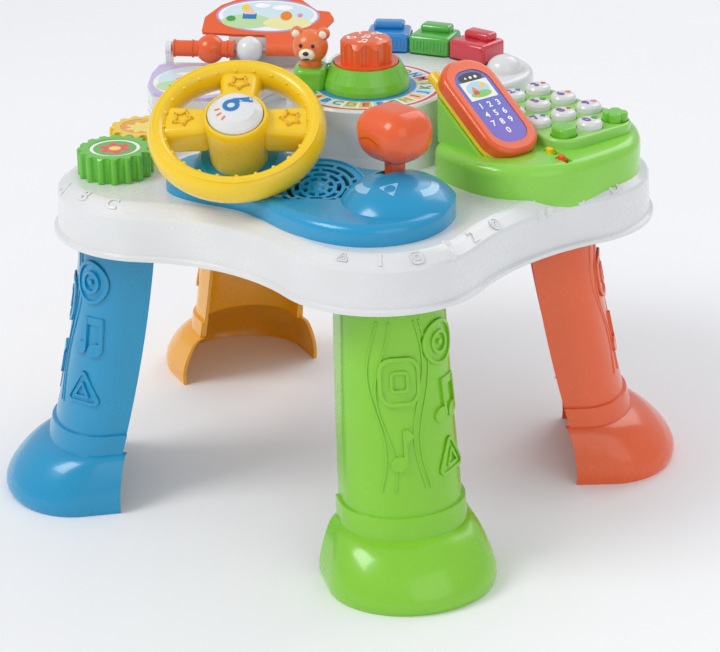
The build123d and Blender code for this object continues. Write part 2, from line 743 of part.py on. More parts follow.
page_outline = ((-43, -9), (-45, -34), (-43, -60), (-34, -84), (-12, -97), (14, -96), (32, -80), (42, -54),
                (46, -28), (46, -9))
turning_outline = ((93.4, 1), (93.4, 9.5), (98, 14), (98, 26), (104, 35), (99, 43), (88, 44), (72, 57), (48, 62), (24, 58), (4, 48),
                   (-9, 34), (-10, 17), (20, 15.5), (46, 15.5), (48, 8), (48, 1))
book_outline = ((-44, 13), (-46, -34), (-44, -61), (-35, -86), (-12, -99), (15, -98), (34, -81), (44, -55),
                (52, -22), (60, -10), (98, -9), (100, 13))
post_along = (-36.0, 97.0)
dome_along = 34.0
ear_radius = 7.0


def smooth_plate(points, low, thick):
    return Pos(0, 0, low) * extrude(make_face(Polyline(*points, close=True)), amount=thick)


def soft_corners(block, size):
    return fillet(block.edges().filter_by(Axis.Z), size)


def make_book():
    frame = facing((spine_at[0], spine_at[1], 0), spine_heading)
    axis_high = spine_at[2]
    plate_low = left_page_high - page_thick
    block = smooth_plate(book_outline, wall_high - 4, plate_low - wall_high + 4 - 0.0)
    block = soft_corners(block, 3)
    for step_high in (deck_high + 6, deck_high + 14):
        groove = Pos(0, 0, step_high) * extrude(offset(make_face(Polyline(*book_outline, close=True)), 3), amount=1.6)
        inner = Pos(0, 0, step_high) * extrude(offset(make_face(Polyline(*book_outline, close=True)), -1.2), amount=1.6)
        block -= groove - inner
    trough = Pos(30, 0, 292) * Box(150, 30, 12, align=STAND)
    block -= trough
    block -= Pos(0, 0, axis_high) * Rot(0, 90, 0) * Cylinder(ball_radius + 1.2, 30)
    for along in post_along:
        ear = Pos(along, 0, 285) * Box(5, 10, axis_high - 285, align=STAND) + Pos(along, 0, axis_high) * Rot(0, 90, 0) * Cylinder(ear_radius - 1, 5)
        block += ear
    rest = Pos(14, 13, 0) * extrude(Plane.YZ * make_face(Polyline(
        (-1, deck_high - 6), (26, deck_high - 6), (18, rest_high(18)), (0, rest_high(0)), (-1, deck_high + 20),
        close=True)), amount=64)
    block += rest
    pin_hole = Pos(30, 0, axis_high) * Rot(0, 90, 0) * Cylinder(spine_pin_radius + 0.02, 150)
    block = frame * (block - pin_hole)
    save(block - deck_body(), "book_base")
    save(frame * soft_corners(smooth_plate(page_outline, plate_low, page_thick), 3), "left_page")
    pin_from, pin_to = post_along[0] - 2.5, post_along[1] + 2.5
    pin = Pos((pin_from + pin_to) / 2, 0, axis_high) * Rot(0, 90, 0) * Cylinder(spine_pin_radius, pin_to - pin_from)
    save(frame * pin, "spine_pin")
    roller = Pos(-5.2, 0, 0) * Rot(0, 90, 0) * Cylinder(roller_radius, 53) + Sphere(ball_radius)
    for along in (-31.0, -15.0, 15.0, 20.6):
        roller += Pos(along, 0, 0) * Rot(0, 90, 0) * Cylinder(roller_radius + 0.8, 1.4)
    roller -= Rot(0, 90, 0) * Cylinder(spine_pin_radius + shaft_play, 80)
    save(frame * Pos(0, 0, axis_high) * roller, "spine_roller")
    dome = Sphere(11.6) & Box(23, 40, 40) - Rot(0, 90, 0) * Cylinder(spine_pin_radius + 0.02, 80)
    foot = Pos(0, 0, -17) * Cylinder(5, 8, align=STAND)
    dome = dome + (foot - Rot(0, 90, 0) * Cylinder(spine_pin_radius + 0.02, 80))
    save(frame * Pos(dome_along, 0, axis_high) * dome, "spine_dome")
    plate = Pos(0, 0, -page_thick / 2) * smooth_plate(turning_outline, 0, page_thick)
    plate = soft_corners(plate, 2)
    barrel = Pos(71, 0, 0) * Rot(0, 90, 0) * Cylinder(5, 45)
    page = plate + barrel - Rot(0, 90, 0) * Cylinder(spine_pin_radius + shaft_play, 240)
    save(frame * Pos(0, 0, axis_high) * Rot(page_lean, 0, 0) * page, "turning_page")


def rest_high(across):
    """Height of the white rest just under the leaning page, measured across the spine."""
    lean = math.radians(page_lean)
    return spine_at[2] + (across + 13) * math.tan(lean) - (page_thick / 2 + 0.3) / math.cos(lean)


# Phone base, keypad and phone

base_outline = ((86, 36), (90, 8), (114, -6), (158, -13), (196, 8), (216, 50), (223, 92), (204, 134), (164, 160),
                (118, 148), (92, 120), (84, 80))


def keypad_frame(height):
    return facing((*keypad_middle, height), keypad_heading)


def button_places():
    """Buttons by name, in columns that run away from the phone."""
    columns = (("1", "2", "3"), ("4", "5", "6"), ("7", "8", "9"), ("square", "0", "clover"))
    places = {}
    for column, names in enumerate(columns):
        for row, name in enumerate(names):
            places[name] = ((column - 1) * column_step, (row - 1) * row_step)
    return places


def make_keypad():
    base = blob(base_outline, wall_high - 4, base_high, base_edge) - deck_body()
    middle = column_step / 2
    plate_wide = 3 * column_step + 29
    plate_deep = 2 * row_step + 29
    frame = keypad_frame(0)
    plate = frame * Pos(middle, 0, base_high) * rounded_block(plate_wide, plate_deep, plate_high - base_high, 19, 2.5)
    phone_frame = facing_phone()
    bed_wide = phone_wide + 6
    cradle = facing((phone_foot[0], phone_foot[1], base_high - 2), phone_heading) * Pos(0, 40, 0) * rounded_block(
        bed_wide, 86, 46, 16, 0)
    clearance = phone_frame * Pos(0, 0, -phone_thick - 0.3) * phone_envelope(0.3, 120)
    slope = phone_frame * Pos(0, 40, -phone_thick + 9) * Box(200, 260, 120, align=STAND)
    keep_out = frame * Pos(middle, 0, base_high) * rounded_block(plate_wide + 1, plate_deep + 1, 60, 19.5)
    cradle = cradle - slope - clearance - keep_out
    base = base + cradle - clearance
    for place in button_places().values():
        hole = Pos(*place, plate_high - well_depth) * Cylinder(button_radius + 0.6, well_depth + 2, align=STAND)
        guide = Pos(*place, plate_high - well_depth - 12) * Cylinder(button_stem + shaft_play, 14, align=STAND)
        plate -= frame * hole
        plate -= frame * guide
        base -= frame * guide
    for place in switch_places:
        base -= switch_frame(place) * Pos(0, 0, -switch_depth) * Box(14, 7, 12, align=STAND)
    save(base, "phone_base")
    save(plate, "keypad_plate")
    for name, place in button_places().items():
        low = -well_depth + button_travel + 0.8
        top = button_tall - well_depth + 3.2
        if name == "clover":
            cap = clover(button_radius, top - low)
        elif name == "square":
            cap = rounded_block(17, 17, top - low, 5, 2.5)
        else:
            cap = spun([(0, 0), (button_radius, 0), (button_radius, top - low - 3.2), (button_radius - 1.2, top - low - 1.4),
                        (button_radius * 0.62, top - low - 0.3), (0, top - low)])
        cap = Pos(0, 0, low) * cap
        cap += Pos(0, 0, low - 7) * Cylinder(button_stem, 8, align=STAND)
        title = f"{name}_button" if name in ("clover", "square") else f"number_button_{name}"
        save(frame * Pos(*place, plate_high) * cap, title)
    for name, place in zip(("switch_yellow", "switch_orange"), switch_places):
        slider = Box(7, 6.4, switch_depth - 0.4, align=STAND) + Pos(0, 0, switch_depth - 0.5) * rounded_block(6, 5, 3.4, 2, 1)
        save(switch_frame(place) * Pos(-switch_travel / 2, 0, -switch_depth) * slider, name)


well_depth = 5.0
button_stem = 3.0
switch_depth = 3.5


def switch_frame(place):
    return facing((*place, base_high), keypad_heading)


def clover(size, tall):
    leaves = Circle(size * 0.45)
    for index in range(4):
        leaves += Rot(0, 0, 45 + index * 90) * Pos(size * 0.5, 0) * Circle(size * 0.5)
    block = extrude(leaves, amount=tall)
    return fillet(block.faces().sort_by(Axis.Z)[-1].edges(), 1.5)


def facing_phone():
    """Frame of the phone's face: X across, Y up its length, Z out of the face."""
    turn, lean = math.radians(phone_heading), math.radians(phone_lean)
    across = Vector(math.cos(turn), math.sin(turn), 0)
    along = Vector(-math.sin(turn) * math.cos(lean), math.cos(turn) * math.cos(lean), math.sin(lean))
    return Plane(origin=phone_foot, x_dir=across, z_dir=across.cross(along)).location


def phone_face(grow, share=1.0):
    """Oval outline of the phone with full ends, around the middle of its length."""
    half_wide = phone_wide / 2 * share + grow
    half_long = phone_long / 2 - (1 - share) * phone_wide / 2 + grow
    end = half_wide * 0.86
    outline = RectangleRounded(2 * half_wide, 2 * half_long, end)
    return Pos(0, phone_long / 2) * outline


def phone_envelope(grow, up):
    lower = Pos(0, 0, 0) * phone_face(grow, 0.66)
    middle = Pos(0, 0, 10) * phone_face(grow, 1.0)
    return loft([lower, middle], ruled=True) + Pos(0, 0, 10) * extrude(phone_face(grow), amount=up)


def make_phone():
    frame = facing_phone()
    split = phone_thick - front_thick
    back = loft([phone_face(0, 0.66), Pos(0, 0, 10) * phone_face(0, 1.0)], ruled=True)
    back = back + Pos(0, 0, 10) * extrude(phone_face(0), amount=split - 10)
    back = fillet(back.faces().sort_by(Axis.Z)[0].edges(), 3)
    aerial = Pos(-phone_wide * 0.30, phone_long - 14, split - 6.2) * Rot(-90, 0, 0) * Cylinder(5.5, 18, align=STAND)
    back = back + fillet(aerial.faces().sort_by(Axis.Y)[-1].edges(), 3)
    save(frame * Pos(0, 0, -phone_thick) * back, "phone_back")
    front = Pos(0, 0, -front_thick) * extrude(phone_face(0), amount=front_thick)
    front = fillet(front.faces().sort_by(Axis.Z)[-1].edges(), 3.5)
    window = Pos(0, phone_long / 2 - 1, -1.6) * extrude(window_outline(0.15), amount=4)
    save(frame * (front - window), "phone_front")
    screen = Pos(0, phone_long / 2 - 1, -1.6) * extrude(window_outline(0), amount=1.0)
    save(frame * screen, "phone_screen")


front_thick = 11.0
screen_wide = 34.0
screen_long = 76.0


def window_outline(grow):
    return RectangleRounded(screen_wide + 2 * grow, screen_long + 2 * grow, screen_wide / 2 - 2.5)


def make_contact_pads():
    """Rubber contact pads under the flower, the piano keys and the keypad buttons."""
    pads = [Pos(*turret_at, post_top) * Cylinder(post_radius - 1, 0.8, align=STAND)]
    for heading in key_places().values():
        pads.append(key_frame(heading) * Pos(0, 0, -key_well) * tube(key_stem + 4, key_stem + 1.5, 1.0))
    for place in button_places().values():
        pads.append(keypad_frame(0) * Pos(*place, plate_high - well_depth) * tube(button_stem + 4, button_stem + 1.2, 0.6))
    save(pads, "contact_pads")


# Circuit board under the deck

board_at = (0.0, 86.0)
board_size = (108.0, 58.0, 1.6)
board_low = 250.0


def make_board():
    wide, deep, thick = board_size
    board = Pos(*board_at, board_low) * Box(wide, deep, thick, align=STAND)
    parts = Pos(board_at[0] - 20, board_at[1], board_low + thick) * Box(16, 16, 2, align=STAND)
    parts += Pos(board_at[0] + 18, board_at[1] + 8, board_low + thick) * Box(10, 14, 1.6, align=STAND)
    parts += Pos(board_at[0] + 34, board_at[1] - 12, board_low + thick) * Cylinder(4, 8, align=STAND)
    save(board + parts, "circuit_board")


leg_mould = leg_shell()
middle_at = middle_of_whole()
make_table_top()
make_legs()
make_underside()
make_dashboard()
make_steering()
make_shifter()
make_gears()
make_turret()
make_pointer()
make_keys()
make_book()
make_keypad()
make_phone()
make_contact_pads()
make_board()
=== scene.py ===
import math
import bpy
import bmesh
from mathutils import Matrix, Vector
from mathutils.bvhtree import BVHTree


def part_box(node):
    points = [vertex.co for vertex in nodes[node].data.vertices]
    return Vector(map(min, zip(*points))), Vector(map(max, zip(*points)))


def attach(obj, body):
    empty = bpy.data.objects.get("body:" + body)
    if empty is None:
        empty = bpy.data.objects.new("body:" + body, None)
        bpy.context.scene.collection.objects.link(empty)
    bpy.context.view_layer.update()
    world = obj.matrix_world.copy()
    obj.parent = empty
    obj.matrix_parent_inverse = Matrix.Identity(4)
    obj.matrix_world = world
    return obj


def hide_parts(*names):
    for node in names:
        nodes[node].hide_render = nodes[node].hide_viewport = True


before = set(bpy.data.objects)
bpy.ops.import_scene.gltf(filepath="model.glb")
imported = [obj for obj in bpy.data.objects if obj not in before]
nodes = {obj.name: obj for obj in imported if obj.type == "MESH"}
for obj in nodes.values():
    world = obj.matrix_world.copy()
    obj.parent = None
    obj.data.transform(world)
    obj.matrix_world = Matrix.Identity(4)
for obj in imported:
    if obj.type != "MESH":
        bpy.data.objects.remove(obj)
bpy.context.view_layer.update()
print("frame loaded")

middle = (-1.98456, 8.66795)  # plan middle of the whole, in the drawing's own millimetres


def atMm(x, y, z):
    return Vector(((x - middle[0]) / 1000, (y - middle[1]) / 1000, z / 1000))


def facing(place, heading, tilt=0.0):
    # frame whose -Y points along the heading and whose Z leans that way
    turn, lean = math.radians(heading), math.radians(tilt)
    up = Vector((math.sin(turn) * math.sin(lean), -math.cos(turn) * math.sin(lean), math.cos(lean)))
    across = Vector((math.cos(turn), math.sin(turn), 0))
    return framed(atMm(*place), across, up)


def framed(origin, across, up):
    back = up.cross(across)
    matrix = Matrix((across, back, up)).transposed().to_4x4()
    matrix.translation = origin
    return matrix


def moved(matrix, x=0.0, y=0.0, z=0.0, turn=0.0):
    # a step in millimetres inside a frame, with a turn about its Z
    return matrix @ Matrix.Translation((x / 1000, y / 1000, z / 1000)) @ Matrix.Rotation(math.radians(turn), 4, "Z")


# Camera, light and floor

cameraSetup = {"azimuth": 33.0, "elevation": 23.6, "roll": -1.0, "distance": 2200.0, "sideways": 17.8,
               "high": 120.0, "lens": 132.5}


def makeCamera(setup):
    turn, lift, roll = (math.radians(setup[key]) for key in ("azimuth", "elevation", "roll"))
    back = Vector((math.sin(turn) * math.cos(lift), -math.cos(turn) * math.cos(lift), math.sin(lift)))
    right = Vector((math.cos(turn), math.sin(turn), 0))
    up = back.cross(right)
    side = right * math.cos(roll) + up * math.sin(roll)
    top = up * math.cos(roll) - right * math.sin(roll)
    data = bpy.data.cameras.new("camera")
    data.lens = setup["lens"]
    data.sensor_width = 36.0
    data.clip_end = 50
    camera = bpy.data.objects.new("camera", data)
    bpy.context.scene.collection.objects.link(camera)
    matrix = Matrix((side, top, back)).transposed().to_4x4()
    matrix.translation = (atMm(0, 0, setup["high"]) + right * setup["sideways"] / 1000
                          + back * setup["distance"] / 1000)
    camera.matrix_world = matrix
    bpy.context.scene.camera = camera


lights = {
    "key": {"place": (-1.3, -1.7, 2.6), "size": 1.3, "power": 38},
    "fill": {"place": (2.4, -1.2, 1.5), "size": 2.2, "power": 12},
    "back": {"place": (0.3, 2.4, 2.2), "size": 1.8, "power": 17},
}
studio = {"colour": (0.93, 0.95, 1.0, 1), "strength": 0.62, "aim": (0, 0, 0.2)}


def makeLights():
    for name, values in lights.items():
        data = bpy.data.lights.new(name, "AREA")
        data.size = values["size"]
        data.energy = values["power"]
        lamp = bpy.data.objects.new(name, data)
        bpy.context.scene.collection.objects.link(lamp)
        place = Vector(values["place"])
        aim = (Vector(studio["aim"]) - place).to_track_quat("-Z", "Y")
        lamp.matrix_world = Matrix.Translation(place) @ aim.to_matrix().to_4x4()
    world = bpy.data.worlds.new("studio")
    world.use_nodes = True
    world.node_tree.nodes["Background"].inputs["Color"].default_value = studio["colour"]
    world.node_tree.nodes["Background"].inputs["Strength"].default_value = studio["strength"]
    bpy.context.scene.world = world
    bpy.context.scene.view_settings.view_transform = "Standard"


# Shader maths

class Shade:
    # one output socket; maths on it adds Math nodes
    def __init__(self, paint, socket):
        self.paint = paint
        self.socket = socket

    def __add__(self, other):
        return self.paint.maths("ADD", self, other)

    def __radd__(self, other):
        return self.paint.maths("ADD", other, self)

    def __sub__(self, other):
        return self.paint.maths("SUBTRACT", self, other)

    def __rsub__(self, other):
        return self.paint.maths("SUBTRACT", other, self)

    def __mul__(self, other):
        return self.paint.maths("MULTIPLY", self, other)

    def __rmul__(self, other):
        return self.paint.maths("MULTIPLY", other, self)

    def __truediv__(self, other):
        return self.paint.maths("DIVIDE", self, other)


def tone(code, alpha=1.0):
    # colour as seen on screen, such as "ff8800", into the shader's linear values
    channels = [int(code[index:index + 2], 16) / 255 for index in (0, 2, 4)]
    return tuple(((c + 0.055) / 1.055) ** 2.4 if c > 0.04045 else c / 12.92 for c in channels) + (alpha,)


def darker(colour, share):
    return tuple(channel * share for channel in colour[:3]) + (1.0,)


class Paint:
    def __init__(self, name):
        self.material = bpy.data.materials.new(name)
        self.material.use_nodes = True
        self.tree = self.material.node_tree
        self.tree.nodes.clear()
        self.place = self.node("ShaderNodeTexCoord", output="Object")

    def node(self, kind, settings=(), values=(), output=0):
        made = self.tree.nodes.new(kind)
        for key, value in dict(settings).items():
            setattr(made, key, value)
        for key, value in dict(values).items():
            if isinstance(value, Shade):
                self.tree.links.new(value.socket, made.inputs[key])
            else:
                made.inputs[key].default_value = value
        return Shade(self, made.outputs[output])

    def maths(self, operation, first, second=0.0, third=0.0):
        return self.node("ShaderNodeMath", {"operation": operation}, {0: first, 1: second, 2: third})

    def mixed(self, factor, first, second):
        return self.node("ShaderNodeMix", {"data_type": "RGBA"}, {0: factor, 6: first, 7: second}, output=2)

    def noise(self, scale, detail=2.0, vector=None):
        return self.node("ShaderNodeTexNoise", {}, {"Vector": vector or self.place, "Scale": scale, "Detail": detail})

    def stepped(self, value, low, high):
        # 0 below low, 1 above high, smooth between
        return self.node("ShaderNodeMapRange", {"interpolation_type": "SMOOTHSTEP"},
                         {0: value, 1: low, 2: high, 3: 0.0, 4: 1.0})

    def apart(self):
        # the three numbers of a place
        split = self.node("ShaderNodeSeparateXYZ", {}, {0: self.place})
        return [Shade(self, split.socket.node.outputs[index]) for index in range(3)]

    def bump(self, height, strength, distance):
        return self.node("ShaderNodeBump", {}, {"Height": height, "Strength": strength, "Distance": distance})

    def finish(self, colour, roughness, normal=None, coat=0.0, specular=0.5, metallic=0.0):
        values = {"Base Color": colour, "Roughness": roughness, "Coat Weight": coat, "Coat Roughness": 0.08,
                  "Specular IOR Level": specular, "Metallic": metallic}
        if normal:
            values["Normal"] = normal
        shader = self.node("ShaderNodeBsdfPrincipled", {}, values)
        end = self.tree.nodes.new("ShaderNodeOutputMaterial")
        self.tree.links.new(shader.socket, end.inputs["Surface"])
        return self.material


plasticLook = {"cloudScale": 14.0, "skinScale": 260.0, "cloudShade": 0.955, "bump": 0.05, "bumpHigh": 0.0004}


def mouldedPlastic(name, code, roughness=0.26, coat=0.4):
    # glossy moulded plastic: faint flow clouds, a fine orange-peel skin and slightly uneven gloss
    paint = Paint(name)
    cloud = paint.noise(plasticLook["cloudScale"], 3.0)
    skin = paint.noise(plasticLook["skinScale"], 2.0)
    colour = tone(code)
    base = paint.mixed(paint.stepped(cloud, 0.35, 0.65), darker(colour, plasticLook["cloudShade"]), colour)
    normal = paint.bump(skin * 0.2 + cloud * 0.8, plasticLook["bump"], plasticLook["bumpHigh"])
    return paint.finish(base, cloud * 0.10 + skin * 0.05 + (roughness - 0.07), normal, coat)


def satinPlastic(name, code, roughness=0.55):
    paint = Paint(name)
    cloud = paint.noise(40.0, 3.0)
    skin = paint.noise(900.0, 3.0)
    colour = tone(code)
    base = paint.mixed(cloud, darker(colour, 0.9), colour)
    return paint.finish(base, skin * 0.14 + (roughness - 0.07), paint.bump(skin, 0.2, 0.0004))


def brushedSteel(name, code="b9bbbf"):
    paint = Paint(name)
    x, y, z = paint.apart()
    streak = paint.noise(60.0, 4.0, paint.node("ShaderNodeCombineXYZ", {}, {0: x * 3.0, 1: y * 3.0, 2: z * 40.0}))
    colour = tone(code)
    base = paint.mixed(streak, darker(colour, 0.8), colour)
    return paint.finish(base, streak * 0.15 + 0.25, None, 0.0, 0.5, 1.0)


def printedInk(name, code, roughness=0.36):
    # ink on a label: faint mottling under a clear film
    paint = Paint(name)
    mottle = paint.noise(260.0, 3.0)
    colour = tone(code)
    base = paint.mixed(mottle, darker(colour, 0.93), colour)
    return paint.finish(base, mottle * 0.08 + (roughness - 0.04), None, 0.2)


plastics = {
    "white": "e7e8e7", "blue": "0a96c6", "green": "89d12c", "orange": "f2642e", "yellow": "fbd21c", "amber": "fbae12",
    "red": "e2394c", "lilac": "cdbfe8", "dashBlue": "0e9acb", "knobOrange": "f06025", "lime": "8fd948",
    "keyBlue": "2a87cc", "domeGreen": "78cc38", "cream": "fdf3df", "bearOrange": "f07a3a", "deepGreen": "68c336",
    # the darker star yellow is painted shade for the wheel's star outlines
    "starShadeYellow": "f0bd18", "paleLime": "9bdc63", "paleBlue": "8fcdee",
}
inks = {
    "purple": "8d55b4", "inkBlue": "2c7fc0", "inkRed": "dd4340", "inkGreen": "49a441", "inkOrange": "f18a2c",
    "inkYellow": "f8d648", "paper": "fbf6ea", "sky": "b9def2", "hill": "8ccf6b", "cloud": "ffffff", "ink": "2b2b33",
    "palePaper": "fdfaf0", "paleSky": "d5ecf3", "paleHill": "c3e3ab", "paleYellow": "f3edae",
    "palePink": "f3cfc6", "lilacInk": "b9a2d8", "inkPink": "ee8fae",
}
finishes = {}
for key, code in plastics.items():
    finishes[key] = mouldedPlastic("plastic_" + key, code)
for key, code in inks.items():
    finishes[key] = printedInk("ink_" + key, code)
for key, code in {"clearBlue": "2387cf", "clearGreen": "4fb53f", "clearRed": "d8303f"}.items():
    finishes[key] = mouldedPlastic("plastic_" + key, code, 0.14, 0.9)
# a darker orange for the knob's crease: painted shade
finishes["deepOrange"] = mouldedPlastic("plastic_deepOrange", "c9481a")
finishes["steel"] = brushedSteel("steel")
finishes["dark"] = satinPlastic("dark_plastic", "3a3b3e")
finishes["board"] = satinPlastic("board_lacquer", "0e5a32", 0.4)
finishes["rubber"] = satinPlastic("pad_rubber", "55565a", 0.75)
print("finishes made")


# Materials that need more than one colour

turretAt = (7.0, 38.0)
discLook = {"centre": turretAt, "redFrom": 57.4, "creamFrom": 55.6, "blueTo": 40.5, "first": -24.0, "step": 360 / 26,
            "tints": ("f9c48a", "b5dcf3", "e3e3ea", "bfe5a8")}


def alphabetPaper(look):
    paint = Paint("alphabet_paper")
    centre = atMm(*look["centre"], 0)
    x, y, z = paint.apart()
    across, along = x - centre.x, y - centre.y
    reach = paint.maths("SQRT", across * across + along * along) * 1000.0
    mottle = paint.noise(150.0, 3.0)
    cream = paint.mixed(mottle, tone("f4f4ee"), tone("fdfcf6"))
    angle = paint.maths("ARCTAN2", along, across)
    step = math.radians(look["step"])
    spotted = (angle - math.radians(look["first"] - 90)) / step + 52.5
    tile = paint.maths("MODULO", paint.maths("FLOOR", spotted), 4.0)
    tint = tone(look["tints"][0])
    for index, code in enumerate(look["tints"][1:]):
        tint = paint.mixed(paint.stepped(tile, index + 0.4, index + 0.6), tint, tone(code))
    edge = paint.maths("ABSOLUTE", paint.maths("FRACT", spotted) - 0.5)
    tint = paint.mixed(paint.stepped(edge, 0.42, 0.45), tint, cream)
    tint = paint.mixed(paint.stepped(reach, look["creamFrom"], look["creamFrom"] + 0.3), tint, cream)
    inner = paint.mixed(paint.stepped(reach, look["blueTo"] - 0.2, look["blueTo"] + 0.2), tone("3f8fd2"), tint)
    whole = paint.mixed(paint.stepped(reach, look["redFrom"] - 0.2, look["redFrom"] + 0.2), inner, tone("d8394a"))
    return paint.finish(whole, mottle * 0.08 + 0.3, None, 0.3)


gearPrint = {"petalDeep": 2.6, "petalReach": 11.2, "heart": 4.6, "ringFrom": 17.2}


def gearPaper(name, place, outer, inner, petals):
    # generic sun and petals print for a knob's disc
    paint = Paint(name)
    centre = atMm(*place, 0)
    x, y, z = paint.apart()
    across, along = x - centre.x, y - centre.y
    reach = paint.maths("SQRT", across * across + along * along) * 1000.0
    angle = paint.maths("ARCTAN2", along, across)
    wave = paint.maths("SINE", angle * float(petals)) * gearPrint["petalDeep"] + gearPrint["petalReach"]
    mottle = paint.noise(200.0, 3.0)
    ground = paint.mixed(mottle, darker(tone(outer), 0.94), tone(outer))
    flower = paint.mixed(paint.stepped(reach - wave, -0.25, 0.25), tone(inner), ground)
    heart = paint.mixed(paint.stepped(reach, gearPrint["heart"], gearPrint["heart"] + 0.4), tone("f7e05a"), flower)
    edge = paint.stepped(reach, gearPrint["ringFrom"], gearPrint["ringFrom"] + 0.4)
    ring = paint.mixed(edge, heart, tone("ffffff"))
    return paint.finish(ring, mottle * 0.08 + 0.3, None, 0.3)


def screenPaper():
    # the phone's printed face: violet below, turning bluer upwards
    paint = Paint("screen_paper")
    x, y, z = paint.apart()
    mottle = paint.noise(200.0, 3.0)
    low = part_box("phone_screen")[0].z
    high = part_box("phone_screen")[1].z
    shade = paint.stepped(z + mottle * 0.002, low, high)
    return paint.finish(paint.mixed(shade, tone("6a4fc0"), tone("3557bf")), mottle * 0.06 + 0.2, None, 0.5)


nodeFinish = {
    "table_top": "white", "bottom_cover": "white", "battery_door": "white", "batteries": "dark",
    "cover_screws": "steel", "circuit_board": "board", "leg_blue": "blue", "leg_green": "green",
    "leg_orange": "orange", "leg_yellow": "amber", "dashboard": "dashBlue", "speaker": "dark", "shift_pin": "steel",
    "shift_lever": "knobOrange", "shift_knob": "knobOrange", "steering_wheel": "yellow", "steering_shaft": "steel",
    "horn_button": "white", "horn_pad": "rubber", "gear_green": "deepGreen", "gear_yellow": "yellow",
    "gear_posts": "white", "turret_drum": "white", "turret_post": "white", "pointer_ring": "domeGreen",
    "bear_figure": "bearOrange", "flower_button": "knobOrange", "contact_pads": "rubber", "key_blue": "keyBlue",
    "key_green": "domeGreen", "key_red": "red", "dome_white": "white", "book_base": "white", "left_page": "lilac",
    "turning_page": "orange", "spine_pin": "steel", "spine_roller": "knobOrange", "spine_dome": "white",
    "phone_base": "lime", "keypad_plate": "paleLime", "clover_button": "domeGreen", "square_button": "domeGreen",
    "phone_back": "yellow", "phone_front": "knobOrange", "switch_yellow": "yellow", "switch_orange": "knobOrange",
}
for digit in range(10):
    nodeFinish[f"number_button_{digit}"] = "white"
ownFinish = {
    "alphabet_disc": alphabetPaper(discLook),
    "gear_green_disc": gearPaper("gear_green_paper", (-134.0, -115.0), "63b84a", "e8504a", 6),
    "gear_yellow_disc": gearPaper("gear_yellow_paper", (-145.98, -63.1), "f2a53a", "f6e26a", 8),
    "phone_screen": screenPaper(),
}
for name, node in nodes.items():
    material = ownFinish.get(name) or finishes[nodeFinish[name]]
    if not node.data.materials:
        node.data.materials.append(material)
    for index in range(len(node.data.materials)):
        node.data.materials[index] = material
print("frame painted")


# Small tools for pieces

def addPiece(name, mesh, body, materials, smooth=False):
    piece = bpy.data.objects.new(name, mesh)
    bpy.context.scene.collection.objects.link(piece)
    for material in materials:
        mesh.materials.append(material)
    if smooth:
        mesh.shade_smooth()
    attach(piece, body)
    return piece


def meshFrom(bm, name):
    bmesh.ops.recalc_face_normals(bm, faces=bm.faces[:])
    mesh = bpy.data.meshes.new(name)
    bm.to_mesh(mesh)
    bm.free()
    return mesh


def treeOf(mesh):
    return BVHTree.FromPolygons([vert.co for vert in mesh.vertices], [poly.vertices for poly in mesh.polygons])


def joinInto(whole, part, slotIndex=0):
    # moves a finished small shape into the piece's own mesh
    for face in part.faces:
        face.material_index = slotIndex
    spare = bpy.data.meshes.new("spare")
    part.to_mesh(spare)
    part.free()
    whole.from_mesh(spare)
    bpy.data.meshes.remove(spare)


def flatShape(sides, radius, corner, turn, stretch):
    # one flat face with even sides, in millimetres, its corners rounded when asked
    bm = bmesh.new()
    bmesh.ops.create_circle(bm, cap_ends=True, segments=sides, radius=radius / 1000)
    if corner:
        bmesh.ops.bevel(bm, geom=bm.verts[:], offset=corner / 1000, offset_type="OFFSET", affect="VERTICES",
                        segments=5, profile=0.5, material=-1)
    bmesh.ops.rotate(bm, verts=bm.verts, cent=(0, 0, 0), matrix=Matrix.Rotation(math.radians(turn), 3, "Z"))
    bmesh.ops.scale(bm, verts=bm.verts, vec=(stretch[0], stretch[1], 1))
    return bm


def plate(sides, radius, thick, corner=0.0, turn=0.0, stretch=(1.0, 1.0)):
    # that flat shape, made thick
    bm = flatShape(sides, radius, corner, turn, stretch)
    raiseUp(bm, thick)
    return bm


def raiseUp(bm, thick):
    out = bmesh.ops.extrude_face_region(bm, geom=bm.faces[:])
    top = [item for item in out["geom"] if isinstance(item, bmesh.types.BMVert)]
    bmesh.ops.translate(bm, verts=top, vec=(0, 0, thick / 1000))


def band(sides, radius, width, thick, corner=0.0, turn=0.0, stretch=(1.0, 1.0)):
    # only the rim of that flat shape, of the given width, made thick
    bm = flatShape(sides, radius, corner, turn, stretch)
    keepRim(bm, width)
    raiseUp(bm, thick)
    return bm


def keepRim(bm, width):
    # the inset has to reach the outer edge too, or there is no rim to keep
    inner = bm.faces[:]
    bmesh.ops.inset_region(bm, faces=inner, thickness=width / 1000, use_even_offset=True, use_boundary=True)
    bmesh.ops.delete(bm, geom=inner, context="FACES_ONLY")


def shifted(bm, x=0.0, y=0.0, z=0.0):
    bmesh.ops.translate(bm, verts=bm.verts, vec=(x / 1000, y / 1000, z / 1000))
    return bm


def star(points, radius, inner, thick):
    bm = bmesh.new()
    bmesh.ops.create_circle(bm, cap_ends=True, segments=2 * points, radius=radius / 1000)
    for vert in list(bm.verts)[1::2]:
        vert.co *= inner / radius
    bmesh.ops.bevel(bm, geom=bm.verts[:], offset=0.5 / 1000, affect="VERTICES", segments=2, profile=0.5, material=-1)
    raiseUp(bm, thick)
    return bm


